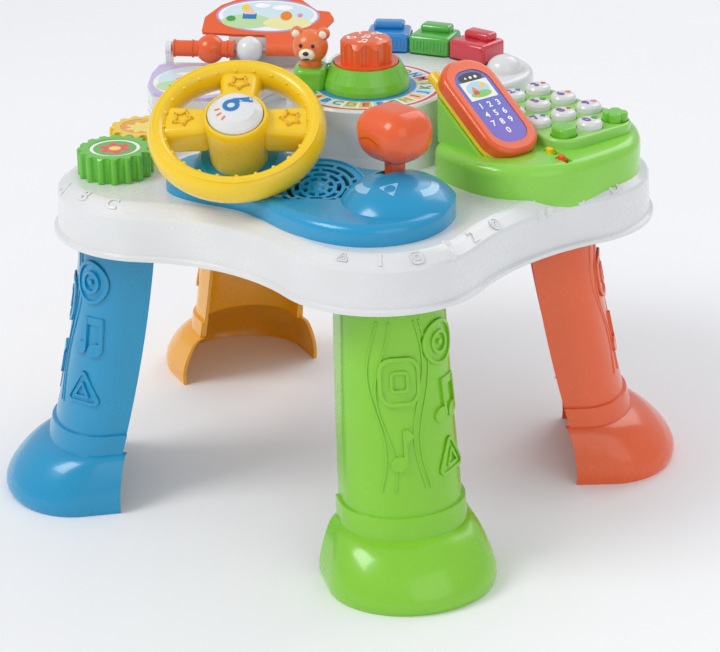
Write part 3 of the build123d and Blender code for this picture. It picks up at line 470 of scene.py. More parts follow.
def lettering(words, tall, thick):
    # built-in letters as a small mesh, centred on its place
    curve = bpy.data.curves.new("letters", "FONT")
    curve.body = words
    curve.size = tall / 1000 * 1.4
    curve.align_x = "CENTER"
    curve.align_y = "CENTER"
    curve.extrude = thick / 2000
    curve.offset = tall / 1000 * 0.03
    curve.resolution_u = 3
    holder = bpy.data.objects.new("letters", curve)
    bpy.context.scene.collection.objects.link(holder)
    flat = bpy.data.meshes.new_from_object(holder.evaluated_get(bpy.context.evaluated_depsgraph_get()))
    bm = bmesh.new()
    bm.from_mesh(flat)
    bpy.data.meshes.remove(flat)
    bpy.data.objects.remove(holder)
    bpy.data.curves.remove(curve)
    bmesh.ops.remove_doubles(bm, verts=bm.verts, dist=1e-6)
    bmesh.ops.translate(bm, verts=bm.verts, vec=(0, 0, thick / 2000))
    return bm


def note(thick, pair=False):
    # a plain music note, or two joined by a beam
    whole = bmesh.new()
    heads = (-4.2, 4.2) if pair else (-2.0,)
    for x in heads:
        head = plate(20, 3.3, thick, 0, 0, (1.15, 0.85))
        bmesh.ops.rotate(head, verts=head.verts, cent=(0, 0, 0), matrix=Matrix.Rotation(0.35, 3, "Z"))
        joinInto(whole, shifted(head, x, -6))
        joinInto(whole, shifted(plate(4, 1.0, thick, 0, 45, (1.1, 9.6)), x + 2.9, 0.3))
    if pair:
        beam = plate(4, 1.0, thick, 0, 45, (6.9, 2.2))
        joinInto(whole, shifted(beam, 2.9, 6.2))
    else:
        flag = plate(3, 3.4, thick, 0.6, 30, (0.75, 1.1))
        joinInto(whole, shifted(flag, 2.8, 4.6))
    return whole


def placed(bm, matrix):
    bmesh.ops.transform(bm, matrix=matrix, verts=bm.verts)
    return bm


trees = {}


def drapeOn(bm, matrix, nodeName, sink=0.5):
    # presses a flat relief onto a node along the frame's Z, keeping each point's height above the surface
    if nodeName not in trees:
        trees[nodeName] = treeOf(nodes[nodeName].data)
    outwards = (matrix.to_3x3() @ Vector((0, 0, 1))).normalized()
    for vert in bm.verts:
        flat = matrix @ Vector((vert.co.x, vert.co.y, 0))
        hit = trees[nodeName].ray_cast(flat + outwards * 0.12, -outwards)
        base = hit[0] if hit[0] else flat
        vert.co = base + outwards * (vert.co.z - sink / 1000)
    return bm


def roundSpot(centre, reach, heading, high):
    # a place round a middle; heading 0 is towards the front
    turn = math.radians(heading)
    return (centre[0] + reach * math.sin(turn), centre[1] - reach * math.cos(turn), high)


# Letters around the turret

alphabetRing = {"radius": 48.2, "tall": 8.6, "thick": 0.25, "height": 320.0, "first": -24.0,
                "colours": ("inkRed", "inkBlue", "inkGreen", "inkOrange")}


def makeAlphabet(look):
    whole = bmesh.new()
    letters = "ABCDEFGHIJKLMNOPQRSTUVWXYZ"
    step = 360 / len(letters)
    for index, letter in enumerate(letters):
        heading = look["first"] + index * step
        place = roundSpot(turretAt, look["radius"], heading, look["height"])
        joinInto(whole, placed(lettering(letter, look["tall"], look["thick"]), facing(place, heading)), index % 4)
    addPiece("alphabet_letters", meshFrom(whole, "alphabet_letters"), "table",
             [finishes[key] for key in look["colours"]])


# Digits on the keypad

keypad = {"middle": (129.0, 104.0), "heading": -19.0, "column": 30.5, "row": 27.5, "top": 309.15, "tall": 8.0,
          "icons": ((20, "inkGreen"), (5, "inkOrange"), (4, "inkBlue"), (3, "inkRed"), (5, "inkPink"))}


def makeDigits(look):
    columns = (("1", "2", "3"), ("4", "5", "6"), ("7", "8", "9"), (None, "0", None))
    grid = facing((*look["middle"], 0), look["heading"])
    for column, names in enumerate(columns):
        for row, name in enumerate(names):
            if name:
                spot = moved(grid, (column - 1) * look["column"], (row - 1) * look["row"], look["top"], 90)
                whole = bmesh.new()
                joinInto(whole, placed(lettering(name, look["tall"], 0.35), moved(spot, -3.2)))
                sides, colour = look["icons"][int(name) % len(look["icons"])]
                mark = star(5, 3.2, 1.7, 0.35) if sides == 5 else plate(sides, 2.7, 0.35, 0.4 if sides < 9 else 0)
                joinInto(whole, placed(mark, moved(spot, 4.6, -0.4)), 1)
                addPiece("digit_" + name, meshFrom(whole, "digit_" + name), "number_" + name,
                         [finishes["purple"], finishes[colour]])


# Steering wheel: tall rim, tapered hub, three puffy spokes with star outlines in a darker yellow that paints their
# shade, and the horn's print

wheel = {"place": (-19.0, -108.0, 323.0), "heading": 30.0, "tilt": 27.0, "rimMiddle": 61.5, "rimWide": 16.0,
         "rimTall": 25.0, "rimDrop": 2.5, "spokes": (5.0, 90.0, 175.0), "spokeFrom": 19.0, "spokeTo": 58.0,
         "spokeSlim": 24.0, "spokeWide": 33.0, "spokeTop": 9.0, "spokeLow": -16.0, "spokeCorner": 6.0,
         "spokeDrop": 0.004, "spokePuff": 0.0012, "beads": 24, "beadSize": 1.7, "beadIn": 5.0, "beadUp": 6.8,
         "ridgeOut": 2.6, "ridgeSink": 0.7, "ridgeThick": (1.1, 0.9), "hornTop": 25.0,
         "star": {"radius": 9.4, "inner": 5.2, "width": 1.6, "thick": 2.3}, "starReach": 42.0,
         "iconThick": 0.7, "rays": (190, 212, 234), "rayReach": 13.6,
         "hub": ((0, -2), (4.6, -2), (4.6, 5.4), (22, 5.4), (22, 15.4), (22.8, 16.3), (24.2, 16.1), (25, 15), (25, 6),
                 (22.8, -30), (6.2, -30), (6.2, -4.4), (0, -4.4))}


def spinUp(points, steps=72):
    # a round body from a radius and height outline, in millimetres
    bm = bmesh.new()
    verts = [bm.verts.new((radius / 1000, 0, high / 1000)) for radius, high in points]
    edges = [bm.edges.new(pair) for pair in zip(verts, verts[1:] + verts[:1])]
    bmesh.ops.spin(bm, geom=verts + edges, cent=(0, 0, 0), axis=(0, 0, 1), angle=math.tau, steps=steps,
                   use_merge=True)
    bmesh.ops.remove_doubles(bm, verts=bm.verts, dist=1e-6)
    bmesh.ops.dissolve_degenerate(bm, edges=bm.edges, dist=1e-7)
    bmesh.ops.recalc_face_normals(bm, faces=bm.faces)
    return bm


def softBlock(wide, deep, tall, corner, segments=5):
    # a block with all edges rounded, standing on its frame's ground
    bm = bmesh.new()
    bmesh.ops.create_cube(bm, size=0.001)
    bmesh.ops.scale(bm, verts=bm.verts, vec=(wide, deep, tall))
    bmesh.ops.bevel(bm, geom=bm.edges[:], offset=corner / 1000, offset_type="OFFSET", affect="EDGES",
                    segments=segments, profile=0.5, material=-1)
    return shifted(bm, 0, 0, tall / 2)


def starLine(radius, inner, width, thick):
    # outline of a soft star
    bm = bmesh.new()
    bmesh.ops.create_circle(bm, cap_ends=True, segments=10, radius=radius / 1000)
    for vert in list(bm.verts)[1::2]:
        vert.co *= inner / radius
    bmesh.ops.bevel(bm, geom=bm.verts[:], offset=0.9 / 1000, affect="VERTICES", segments=3, profile=0.5, material=-1)
    keepRim(bm, width)
    raiseUp(bm, thick)
    return bm


def makeWheel(look):
    own = facing(look["place"], look["heading"], look["tilt"])
    whole = bmesh.new()
    steps = 28
    rim = [(look["rimMiddle"] + look["rimWide"] / 2 * math.cos(turn * math.tau / steps),
            look["rimTall"] / 2 * math.sin(turn * math.tau / steps) - look["rimDrop"]) for turn in range(steps)]
    joinInto(whole, spinUp(rim, 96))
    joinInto(whole, spinUp(look["hub"], 72))
    length = look["spokeTo"] - look["spokeFrom"]
    tall = look["spokeTop"] - look["spokeLow"]
    for turn in look["spokes"]:
        spoke = softBlock(length, look["spokeWide"], tall, look["spokeCorner"])
        for vert in spoke.verts:
            share = vert.co.x / (length / 1000) + 0.5
            top = vert.co.z / (tall / 1000)
            slim = look["spokeSlim"] / look["spokeWide"]
            vert.co.y *= (slim + (1 - slim) * share) * (1.12 - 0.12 * top)
            vert.co.z -= look["spokeDrop"] * share * top
            vert.co.z += look["spokePuff"] * top * math.cos(min(1.0, abs(vert.co.y) / 0.016) * math.pi / 2)
        joinInto(whole, placed(shifted(spoke, look["spokeFrom"] + length / 2, 0, look["spokeLow"]),
                               moved(Matrix.Identity(4), turn=turn)))
    across, high = look["ridgeThick"]
    ridge = [(look["rimMiddle"] + look["ridgeOut"] + across * math.cos(turn * math.tau / 8),
              look["rimTall"] / 2 - look["rimDrop"] - look["ridgeSink"] + high * math.sin(turn * math.tau / 8))
             for turn in range(8)]
    joinInto(whole, spinUp(ridge, 96))
    for index in range(look["beads"]):
        bead = ball(look["beadSize"], (1, 1, 0.8), 12)
        around = moved(Matrix.Identity(4), turn=index * 360 / look["beads"] + 4)
        joinInto(whole, placed(bead, moved(around, look["rimMiddle"] - look["beadIn"], 0, look["beadUp"])))
    wheelMesh = meshFrom(placed(whole, own), "wheel_dressed")
    piece = addPiece("wheel_dressed", wheelMesh, "wheel", [finishes["yellow"]], smooth=True)
    sharpen(piece, 38)
    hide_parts("steering_wheel")
    trees["wheel"] = treeOf(wheelMesh)
    # the star outlines get a darker yellow than the wheel: painted shade, as the real outlines are the wheel's own
    # yellow and show only by their shading
    stars = bmesh.new()
    for turn in look["spokes"]:
        spot = moved(moved(own, turn=turn), look["starReach"], 0, 12, 90)
        joinInto(stars, drapeOn(starLine(**look["star"]), spot, "wheel", 0.7))
    addPiece("wheel_stars", meshFrom(stars, "wheel_stars"), "wheel", [finishes["starShadeYellow"]])
    icon = bmesh.new()  # the horn's sign: a ring, a bar and a short end
    thick = look["iconThick"]
    joinInto(icon, shifted(band(28, 6.6, 3.4, thick, 0, 0, (1.0, 0.95)), -3.4, -0.6))
    joinInto(icon, shifted(plate(4, 3.6, thick, 0.8, 45, (2.7, 0.95)), 4.8, 3.8))
    joinInto(icon, shifted(plate(4, 3.4, thick, 0.6, 45, (0.7, 1.35)), 12.2, 3.8))
    addPiece("horn_icon", meshFrom(drapeOn(icon, moved(own, 0.5, 2.5, look["hornTop"] + 3, 12), "horn_button", 0.25),
                                   "horn_icon"), "horn", [finishes["inkBlue"]])
    rays = bmesh.new()
    for turn in look["rays"]:
        ray = placed(plate(4, 1.7, thick, 0.3, 45, (1.7, 0.6)), moved(Matrix.Identity(4), turn=turn))
        reach = look["rayReach"]
        joinInto(rays, shifted(ray, reach * math.cos(math.radians(turn)), reach * math.sin(math.radians(turn))))
    addPiece("horn_rays", meshFrom(drapeOn(rays, moved(own, 0, 0, look["hornTop"] + 3, 0), "horn_button", 0.25),
                                   "horn_rays"), "horn", [finishes["inkOrange"]])


def sharpen(piece, degrees):
    # smooth faces, with hard edges kept where the shape turns sharply
    bm = bmesh.new()
    bm.from_mesh(piece.data)
    for edge in bm.edges:
        edge.smooth = len(edge.link_faces) != 2 or edge.calc_face_angle(0) < math.radians(degrees)
    bm.to_mesh(piece.data)
    bm.free()


# Shifter: squarish puffed knob with a crease, painted as a thin darker strip of shade, on its block-shaped stalk

shifter = {"place": (101.0, -70.0, 284.0), "heading": -15.0, "knob": (53.0, 48.0, 42.0), "low": 23.5, "corner": 17.0,
           "foot": 0.86, "puff": (0.22, 0.20), "puffFast": 1.35, "narrowUp": 0.08, "stalk": (12.0, 13.0, 34.0),
           "creaseLong": 0.021, "creaseBow": 0.004, "creaseWide": 0.0016}


def makeShifter(look):
    own = facing(look["place"], look["heading"])
    wide, deep, tall = look["knob"]
    knob = softBlock(wide, deep, tall, look["corner"], 9)
    for vert in knob.verts:
        share = vert.co.z / (tall / 1000)
        swell = math.sin(min(1.0, share * look["puffFast"]) * math.pi / 2)
        vert.co.x *= look["foot"] + look["puff"][0] * swell - look["narrowUp"] * share
        vert.co.y *= look["foot"] + look["puff"][1] * swell - look["narrowUp"] * share
    knobMesh = meshFrom(placed(knob, moved(own, 0, 0, look["low"])), "knob_dressed")
    piece = addPiece("knob_dressed", knobMesh, "shifter", [finishes["knobOrange"]], smooth=True)
    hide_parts("shift_knob")
    trees["knob"] = treeOf(knobMesh)
    # the crease is a thin, barely raised strip in darker orange: painted shade along the crease line
    crease = bmesh.new()
    bmesh.ops.create_grid(crease, x_segments=24, y_segments=2, size=0.5)
    for vert in crease.verts:
        along = vert.co.x
        bow = look["creaseBow"] * math.cos(along * 3.0) - look["creaseBow"]
        vert.co = Vector((along * look["creaseLong"], bow + vert.co.y * look["creaseWide"], 0))
    raiseUp(crease, 0.6)
    front = framed(moved(own, -4, -50, 46).translation, own.to_3x3() @ Vector((1, 0, 0)),
                   own.to_3x3() @ Vector((0, -1, 0)))
    addPiece("knob_crease_shade", meshFrom(drapeOn(crease, front, "knob", 0.35), "knob_crease_shade"), "shifter",
             [finishes["deepOrange"]])
    stalk = softBlock(*look["stalk"], 2.0, 3)
    piece = addPiece("stalk_dressed", meshFrom(placed(stalk, moved(own, 0, 0, -4)), "stalk_dressed"), "shifter",
                     [finishes["knobOrange"]], smooth=True)
    sharpen(piece, 50)
    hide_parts("shift_lever")


# Piano keys: clear coloured blocks with a raised bar, ribbed sides on two of them

keys = {"reach": 147.0, "bed": 306.0, "size": (37.0, 32.0, 17.5), "low": -1.0, "corner": 3.6,
        "bar": (27.0, 14.0, 7.0), "barCorner": 3.2, "barBack": 5.5,
        "ribs": 10, "ribThick": 1.7, "ribUp": 5.0, "ribDown": 9.0,  # ribs start above the bed, also when pressed
        "headings": {"key_blue": 205.0, "key_green": 189.0, "key_red": 173.0},
        "colours": {"key_blue": "clearBlue", "key_green": "clearGreen", "key_red": "clearRed"},
        "bodies": {"key_blue": "blue_key", "key_green": "green_key", "key_red": "red_key"}}


def makeKeys(look):
    wide, deep, tall = look["size"]
    for name, heading in look["headings"].items():
        own = facing(roundSpot(turretAt, look["reach"], heading, look["bed"]), heading)
        whole = bmesh.new()
        joinInto(whole, shifted(softBlock(wide, deep, tall, look["corner"]), 0, 0, look["low"]))
        bar = softBlock(*look["bar"], look["barCorner"])
        joinInto(whole, shifted(bar, 0, -look["barBack"], look["low"] + tall - 1))
        if name != "key_red":
            for index in range(look["ribs"]):
                across = (index / (look["ribs"] - 1) - 0.5)
                for side in (-1, 1):
                    for x, y in ((across * (wide - 9), side * deep / 2), (side * wide / 2, across * (deep - 9))):
                        rib = softBlock(look["ribThick"], look["ribThick"], tall - look["ribDown"], 0.7, 2)
                        joinInto(whole, shifted(rib, x, y, look["low"] + look["ribUp"]))
        piece = addPiece(name + "_dressed", meshFrom(placed(whole, own), name + "_dressed"), look["bodies"][name],
                         [finishes[look["colours"][name]]], smooth=True)
        sharpen(piece, 50)
        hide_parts(name)


# Bear on the pointer

bear = {"reach": 45.0, "arm": -62.0, "low": 320.3, "heading": 20.0, "head": 14.5, "neck": 18,
        "eye": (1.5, (1, 0.6, 1.15)), "nose": (2.5, (1, 0.7, 0.72)), "mouth": (3.0, (1, 0.5, 0.3)),
        "muzzle": (6.9, (1.0, 0.7, 0.76)), "earInside": (3.3, (1, 0.5, 1))}


def ball(size, stretch=(1, 1, 1), segments=20):
    bm = bmesh.new()
    bmesh.ops.create_uvsphere(bm, u_segments=segments, v_segments=segments // 2, radius=size / 1000)
    bmesh.ops.scale(bm, verts=bm.verts, vec=stretch)
    return bm


def makeBearFace(look):
    own = facing(roundSpot(turretAt, look["reach"], look["arm"], look["low"]), look["heading"])
    size = look["head"]
    middleUp = look["neck"] + size
    dark = bmesh.new()
    for side in (-1, 1):
        joinInto(dark, placed(ball(*look["eye"]), moved(own, side * 5.0, -size * 0.85, middleUp + 4.0)))
    joinInto(dark, placed(ball(*look["nose"]), moved(own, 0, -size * 0.82 - 4.6, middleUp - 1.2)))
    joinInto(dark, placed(ball(*look["mouth"]), moved(own, 0, -size * 0.82 - 3.6, middleUp - 6.2)))
    addPiece("bear_eyes_nose", meshFrom(dark, "bear_eyes_nose"), "pointer", [finishes["ink"]], smooth=True)
    pale = bmesh.new()
    joinInto(pale, placed(ball(*look["muzzle"]), moved(own, 0, -size * 0.82, middleUp - 3.0)))
    for side in (-1, 1):
        joinInto(pale, placed(ball(*look["earInside"]), moved(own, side * 11.0, -3.4, look["neck"] + size * 1.75)))
    addPiece("bear_muzzle", meshFrom(pale, "bear_muzzle"), "pointer", [finishes["cream"]], smooth=True)


# Flower button's white notes and the little dashes round the green dome ring

flower = {"top": 362.0, "notes": 5, "noteReach": 11.5, "noteThick": 0.3, "noteSize": 0.45,
          "dashHigh": 342.0, "dashRadius": 31.5, "dashes": 20}


def smallNote(look, pair):
    mark = note(look["noteThick"], pair)
    bmesh.ops.scale(mark, verts=mark.verts, vec=(look["noteSize"], look["noteSize"], 1))
    return mark


def makeFlowerPrint(look):
    whole = bmesh.new()
    for index in range(look["notes"]):
        own = facing((*turretAt, look["top"]), index * 360 / look["notes"] + 20)
        mark = smallNote(look, index % 2 == 0)
        joinInto(whole, drapeOn(mark, moved(own, 0, -look["noteReach"]), "flower_button", 0.1))
    middleNote = smallNote(look, True)
    joinInto(whole, drapeOn(middleNote, facing((*turretAt, look["top"]), 30), "flower_button", 0.1))
    addPiece("flower_print", meshFrom(whole, "flower_print"), "flower", [finishes["palePaper"]])
    dashes = bmesh.new()
    for index in range(look["dashes"]):
        own = facing((*turretAt, look["dashHigh"]), index * 360 / look["dashes"])
        joinInto(dashes, drapeOn(plate(4, 1.6, 0.7, 0.4, 45, (0.55, 1.5)), moved(own, 0, -look["dashRadius"]),
                                 "pointer_ring", 0.2))
    addPiece("dome_dashes", meshFrom(dashes, "dome_dashes"), "pointer", [finishes["domeGreen"]])


# Book pictures

book = {"spine": (-181.0, 83.0, 309.0), "heading": 25.5, "lean": 33.0, "pageHigh": 297.0, "thick": 3.0}


def flatPicture(name, matrix, shapes, body):
    # shapes lie in thin layers, each one a little above the last
    whole = bmesh.new()
    used = []
    for level, (kind, colour, x, y, *sizes) in enumerate(shapes):
        if colour not in used:
            used.append(colour)
        if kind == "oval":
            part = plate(32, 1.0, 0.05, 0, 0, (sizes[0], sizes[1]))
        elif kind == "box":
            part = plate(4, math.sqrt(0.5), 0.05, 0, 45, (sizes[0], sizes[1]))
        elif kind == "star":
            part = star(5, sizes[0], sizes[0] * 0.5, 0.05)
        else:
            part = plate(int(sizes[0]), sizes[1], 0.05, sizes[1] * 0.15)
        joinInto(whole, placed(part, moved(matrix, x, y, 0.02 + level * 0.03)), used.index(colour))
    return addPiece(name, meshFrom(whole, name), body, [finishes[key] for key in used])


def makeBookPictures(look):
    own = facing(look["spine"], look["heading"])
    flat = own.copy()
    flat.translation.z = look["pageHigh"] / 1000
    flatPicture("left_page_picture", flat, [
        ("oval", "palePaper", -2, -51, 38, 40), ("oval", "paleSky", -2, -46, 35, 33),
        ("oval", "paleHill", -8, -66, 27, 17), ("oval", "paleYellow", 16, -62, 19, 12),
        ("oval", "palePink", 4, -48, 17, 7), ("oval", "paleHill", 18, -38, 12, 8),
        ("oval", "cloud", -14, -34, 10, 4), ("oval", "cloud", -7, -31, 7, 4), ("oval", "cloud", 12, -26, 8, 3),
        ("box", "palePink", -16, -54, 10, 9), ("poly", "inkPink", -16, -46, 3, 7),
        ("oval", "inkYellow", 20, -30, 4, 4),
        ("star", "inkGreen", -22, -66, 3), ("star", "inkOrange", 6, -70, 3), ("oval", "inkGreen", 24, -54, 3, 4),
    ], "table")
    tilted = own @ Matrix.Rotation(math.radians(look["lean"]), 4, "X")
    for side, name in ((1, "front"), (-1, "back")):
        page = moved(tilted, 0, 0, side * look["thick"] / 2)
        if side < 0:
            page = moved(tilted, 90, 0, -look["thick"] / 2) @ Matrix.Rotation(math.pi, 4, "Y")
        flatPicture("turning_page_" + name, page, [
            ("oval", "lilacInk", 46, 37, 45.5, 18.6), ("oval", "palePaper", 46, 37, 43.5, 17.0),
            ("oval", "paleSky", 46, 38.5, 40, 14), ("oval", "paleHill", 28, 30, 22, 8),
            ("oval", "paleYellow", 64, 29, 21, 7), ("oval", "inkYellow", 26, 45, 4, 4),
            ("oval", "cloud", 58, 46, 9, 3), ("oval", "cloud", 40, 48, 7, 2.6),
            ("box", "inkBlue", 30, 36, 12, 6), ("poly", "palePink", 30, 41, 3, 6),
            ("oval", "inkOrange", 62, 37, 5, 5),
            ("star", "inkPink", 74, 38, 3), ("oval", "inkGreen", 14, 33, 4, 3),
        ], "page")


# Phone face

phone = {"foot": (164.0, 19.0, 299.0), "heading": 70.0, "lean": 33.0, "long": 98.0, "screenDepth": -0.6,
         "columnStep": 8.6, "rowStep": 9.2, "digitTall": 5.6}


def phoneFrame(look):
    turn, lean = math.radians(look["heading"]), math.radians(look["lean"])
    across = Vector((math.cos(turn), math.sin(turn), 0))
    along = Vector((-math.sin(turn) * math.cos(lean), math.cos(turn) * math.cos(lean), math.sin(lean)))
    return framed(atMm(*look["foot"]), across, across.cross(along))


def makePhoneFace(look):
    own = moved(phoneFrame(look), 0, look["long"] / 2 - 1, look["screenDepth"])
    flatPicture("phone_picture", own, [
        ("oval", "ink", 0, 30.5, 11.5, 5.2), ("box", "paper", 0, 17.5, 27, 19),
        ("oval", "sky", 0, 18.5, 11, 7.4), ("oval", "hill", 0, 13.2, 10, 3.4),
        ("oval", "inkYellow", 5.5, 21, 2.6, 2.6), ("box", "inkRed", -4, 15.2, 5, 4),
        ("poly", "inkOrange", -4, 18.4, 3, 3.4),
    ], "phone")
    marks = bmesh.new()
    for index, x in enumerate((-5, 0, 5)):
        joinInto(marks, placed(plate(3 + 3 * index, 1.5, 0.15, 0.3), moved(own, x, 30.5, 0.1)))
    digits = ("1", "2", "3", "4", "5", "6", "7", "8", "9", "", "0", "")
    for index, sign in enumerate(digits):
        if sign:
            x, y = (index % 3 - 1) * look["columnStep"], 1.5 - (index // 3) * look["rowStep"]
            joinInto(marks, placed(lettering(sign, look["digitTall"], 0.2), moved(own, x, y, 0.05)))
    addPiece("phone_digits", meshFrom(marks, "phone_digits"), "phone", [finishes["cloud"]])


# Reliefs on the legs and on the shoulder

legLook = {"headings": {"leg_blue": -47.0, "leg_green": 47.0, "leg_orange": 124.0, "leg_yellow": -122.0},
           "colours": {"leg_blue": "blue", "leg_green": "green", "leg_orange": "orange", "leg_yellow": "amber"},
           "radius": 205.0, "high": 2.7, "lines": ((-24, 5, 0.0), (-18, 6, 0.7), (8, 5, 2.6), (13, 5, 2.8)),
           "lineWide": 1.3, "lineFrom": 82, "lineLong": 130, "softEdge": 0.0006,
           "marks": (("ring", 29.0, 190.0, 34.0), ("square", -5.3, 166.0, -4.0), ("twin", 29.0, 146.0, 34.0),
                     ("note", -4.5, 115.0, -4.0), ("triangle", 27.0, 98.0, 32.0))}


def legMark(kind, high):
    # one raised sign: a low pad with a raised rim and middle
    whole = bmesh.new()
    if kind == "ring":
        joinInto(whole, plate(40, 17.0, high * 0.55, 0, 0, (1.0, 1.04)))
        joinInto(whole, band(40, 17.0, 2.6, high, 0, 0, (1.0, 1.04)))
        joinInto(whole, band(32, 9.0, 2.4, high, 0, 0, (1.0, 1.04)))
        joinInto(whole, plate(16, 2.2, high))
    elif kind == "square":
        joinInto(whole, plate(4, 25.0, high * 0.55, 11, 45, (0.92, 1.06)))
        joinInto(whole, band(4, 25.0, 2.8, high, 11, 45, (0.92, 1.06)))
        joinInto(whole, band(4, 11.0, 2.0, high, 4, 45, (0.92, 1.06)))
    elif kind == "triangle":
        joinInto(whole, plate(3, 21.0, high * 0.55, 8, 0))
        joinInto(whole, band(3, 21.0, 2.6, high, 8, 0))
        joinInto(whole, band(3, 9.5, 1.8, high, 2, 0))
    else:
        joinInto(whole, note(high, kind == "twin"))
        bmesh.ops.scale(whole, verts=whole.verts, vec=(1.75, 1.95, 1))
    return whole


def makeLegReliefs(look):
    for name, heading in look["headings"].items():
        turn = math.radians(heading)
        outwards = Vector((math.sin(turn), -math.cos(turn), 0))
        across = Vector((math.cos(turn), math.sin(turn), 0))
        whole = bmesh.new()
        for kind, side, high, swing in look["marks"]:
            own = uprightFrame(across * side + outwards * look["radius"] + Vector((0, 0, high)), heading + swing)
            joinInto(whole, drapeOn(legMark(kind, look["high"]), own, name, 0.3))
        own = uprightFrame(outwards * look["radius"], heading)
        for line in look["lines"]:
            joinInto(whole, waveLine(look, own, name, *line))
        piece = addPiece(name + "_relief", meshFrom(whole, name + "_relief"), "table",
                         [finishes[look["colours"][name]]])
        softEdges(piece, look["softEdge"])


def uprightFrame(place, heading):
    # X across, Y up, Z out of an upright face; the place is in the drawing's millimetres
    turn = math.radians(heading)
    outwards = Vector((math.sin(turn), -math.cos(turn), 0))
    matrix = Matrix((Vector((math.cos(turn), math.sin(turn), 0)), Vector((0, 0, 1)), outwards)).transposed().to_4x4()
    matrix.translation = atMm(*place)
    return matrix


def waveLine(look, own, name, side, swing, shift):
    # a flowing staff line down the leg
    bm = bmesh.new()
    steps = 44
    bmesh.ops.create_grid(bm, x_segments=1, y_segments=steps, size=0.5)
    for vert in bm.verts:
        along = vert.co.y + 0.5
        across = vert.co.x * look["lineWide"] + swing * math.sin(along * 7 + shift)
        vert.co = Vector((across / 1000, (look["lineFrom"] + along * look["lineLong"]) / 1000, 0))
    raiseUp(bm, look["high"] * 0.45)
    return drapeOn(bm, moved(own, side, 0), name, 0.3)


def softEdges(piece, width):
    rounding = piece.modifiers.new("soft", "BEVEL")
    rounding.width = width
    rounding.segments = 2
    rounding.limit_method = "ANGLE"


shoulder = {"tall": 11.0, "lean": 36.0, "high": 1.6, "level": 266.0, "noteSize": 0.62, "signSize": 0.3, "marks": (
    ("A", -155.9, -156.0, -42), ("B", -125.6, -166.3, -15), ("C", -96.8, -169.2, 5), ("triangle", 117.4, -170.8, 9),
    ("1", 144.3, -161.0, 33), ("square", 164.7, -142.3, 52), ("note", 176.0, -115.4, 75), ("2", 179.2, -84.1, 90),
    ("ring", 180.4, -53.1, 86), ("twin", 191.1, -2.1, 72), ("3", 209.7, 30.1, 62), ("D", 221.7, 62.1, 69))}


def makeShoulder(look):
    whole = bmesh.new()
    for kind, x, y, heading in look["marks"]:
        own = facing((x, y, look["level"]), heading, look["lean"])
        if len(kind) == 1:
            mark = lettering(kind, look["tall"], look["high"])
        else:
            mark = legMark(kind, look["high"])
            size = look["noteSize"] if kind in ("note", "twin") else look["signSize"]
            bmesh.ops.scale(mark, verts=mark.verts, vec=(size, size, 1))
        joinInto(whole, drapeOn(mark, own, "table_top", 0.25))
    addPiece("shoulder_marks", meshFrom(whole, "shoulder_marks"), "table", [finishes["white"]])


# Dashboard trim: a pale triangle and two pale arcs by the shifter, the ring round the grille; and the arrow on the
# green base

dash = {"speaker": (52.0, -103.0, 287.0), "heading": 28.0, "tilt": 15.0, "ring": 36.2, "ringThick": 1.1,
        "triangle": (118.4, -105.0, 302.0), "signThick": 0.5, "arcWide": 6.0,
        "arcs": ((104.0, -96.0, 16.0, 200.0, 70.0), (122.0, -84.0, 20.0, -30.0, 75.0)),
        "baseArrow": (135.2, -9.0, 291.8)}


def arcBand(radius, width, start, sweep, thick, steps=18):
    # part of a flat ring, in millimetres
    bm = bmesh.new()
    first = math.radians(start)
    ends = [bm.verts.new((reach / 1000 * math.cos(first), reach / 1000 * math.sin(first), 0))
            for reach in (radius - width / 2, radius + width / 2)]
    edge = bm.edges.new(ends)
    bmesh.ops.spin(bm, geom=ends + [edge], cent=(0, 0, 0), axis=(0, 0, 1), angle=math.radians(sweep), steps=steps)
    raiseUp(bm, thick)
    return bm


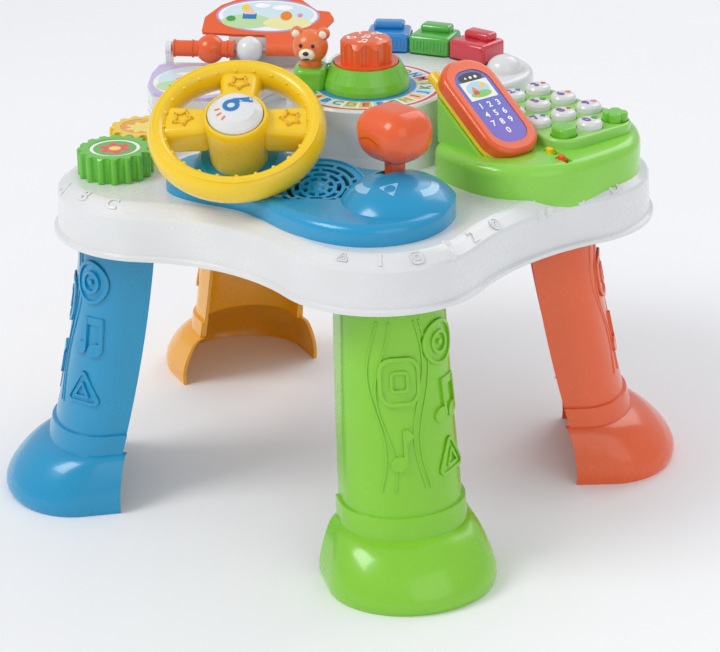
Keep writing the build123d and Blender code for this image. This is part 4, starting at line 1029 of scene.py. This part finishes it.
def makeDashTrim(look):
    own = facing(look["speaker"], look["heading"], look["tilt"])
    thick = look["ringThick"]
    ridge = [(look["ring"] + thick * math.cos(turn * math.tau / 10), 0.1 + thick * math.sin(turn * math.tau / 10))
             for turn in range(10)]
    addPiece("speaker_ring", meshFrom(placed(spinUp(ridge, 64), own), "speaker_ring"), "table",
             [finishes["dashBlue"]], smooth=True)
    signs = bmesh.new()
    top = facing(look["triangle"], look["heading"] - 20, 0)
    joinInto(signs, drapeOn(plate(3, 9.5, look["signThick"], 2.2, 100), top, "dashboard", 0.1))
    for x, y, radius, start, sweep in look["arcs"]:
        arc = arcBand(radius, look["arcWide"], start, sweep, look["signThick"])
        joinInto(signs, drapeOn(arc, facing((x, y, 300), 0), "dashboard", 0.1))
    addPiece("dash_pale_marks", meshFrom(signs, "dash_pale_marks"), "table", [finishes["paleBlue"]])
    arrow = bmesh.new()
    joinInto(arrow, shifted(plate(4, 3.0, look["signThick"], 0.6, 45, (4.2, 0.8)), -3.0, 0))
    joinInto(arrow, shifted(plate(3, 5.4, look["signThick"], 1.0, 0), 10.5, 0))
    drapeOn(arrow, facing(look["baseArrow"], 15, 45), "phone_base", 0.1)
    addPiece("base_arrow", meshFrom(arrow, "base_arrow"), "table", [finishes["paleLime"]])


floorLook = {"size": 8, "dim": "fafafb", "light": "ffffff", "roughness": 0.6}


def makeFloor(look):
    sheet = bmesh.new()
    bmesh.ops.create_grid(sheet, x_segments=1, y_segments=1, size=look["size"])
    paint = Paint("floor_paint")
    cloud = paint.noise(3.0, 2.0)
    material = paint.finish(paint.mixed(cloud, tone(look["dim"]), tone(look["light"])), look["roughness"])
    mesh = bpy.data.meshes.new("floor")
    sheet.to_mesh(mesh)
    sheet.free()
    mesh.materials.append(material)
    floor = bpy.data.objects.new("floor", mesh)
    bpy.context.scene.collection.objects.link(floor)


makeCamera(cameraSetup)
makeLights()
makeFloor(floorLook)
print("stage set")

makeAlphabet(alphabetRing)
makeDigits(keypad)
makeWheel(wheel)
makeShifter(shifter)
makeKeys(keys)
makeBearFace(bear)
makeFlowerPrint(flower)
makeBookPictures(book)
makePhoneFace(phone)
makeLegReliefs(legLook)
makeShoulder(shoulder)
makeDashTrim(dash)
print("pieces made")
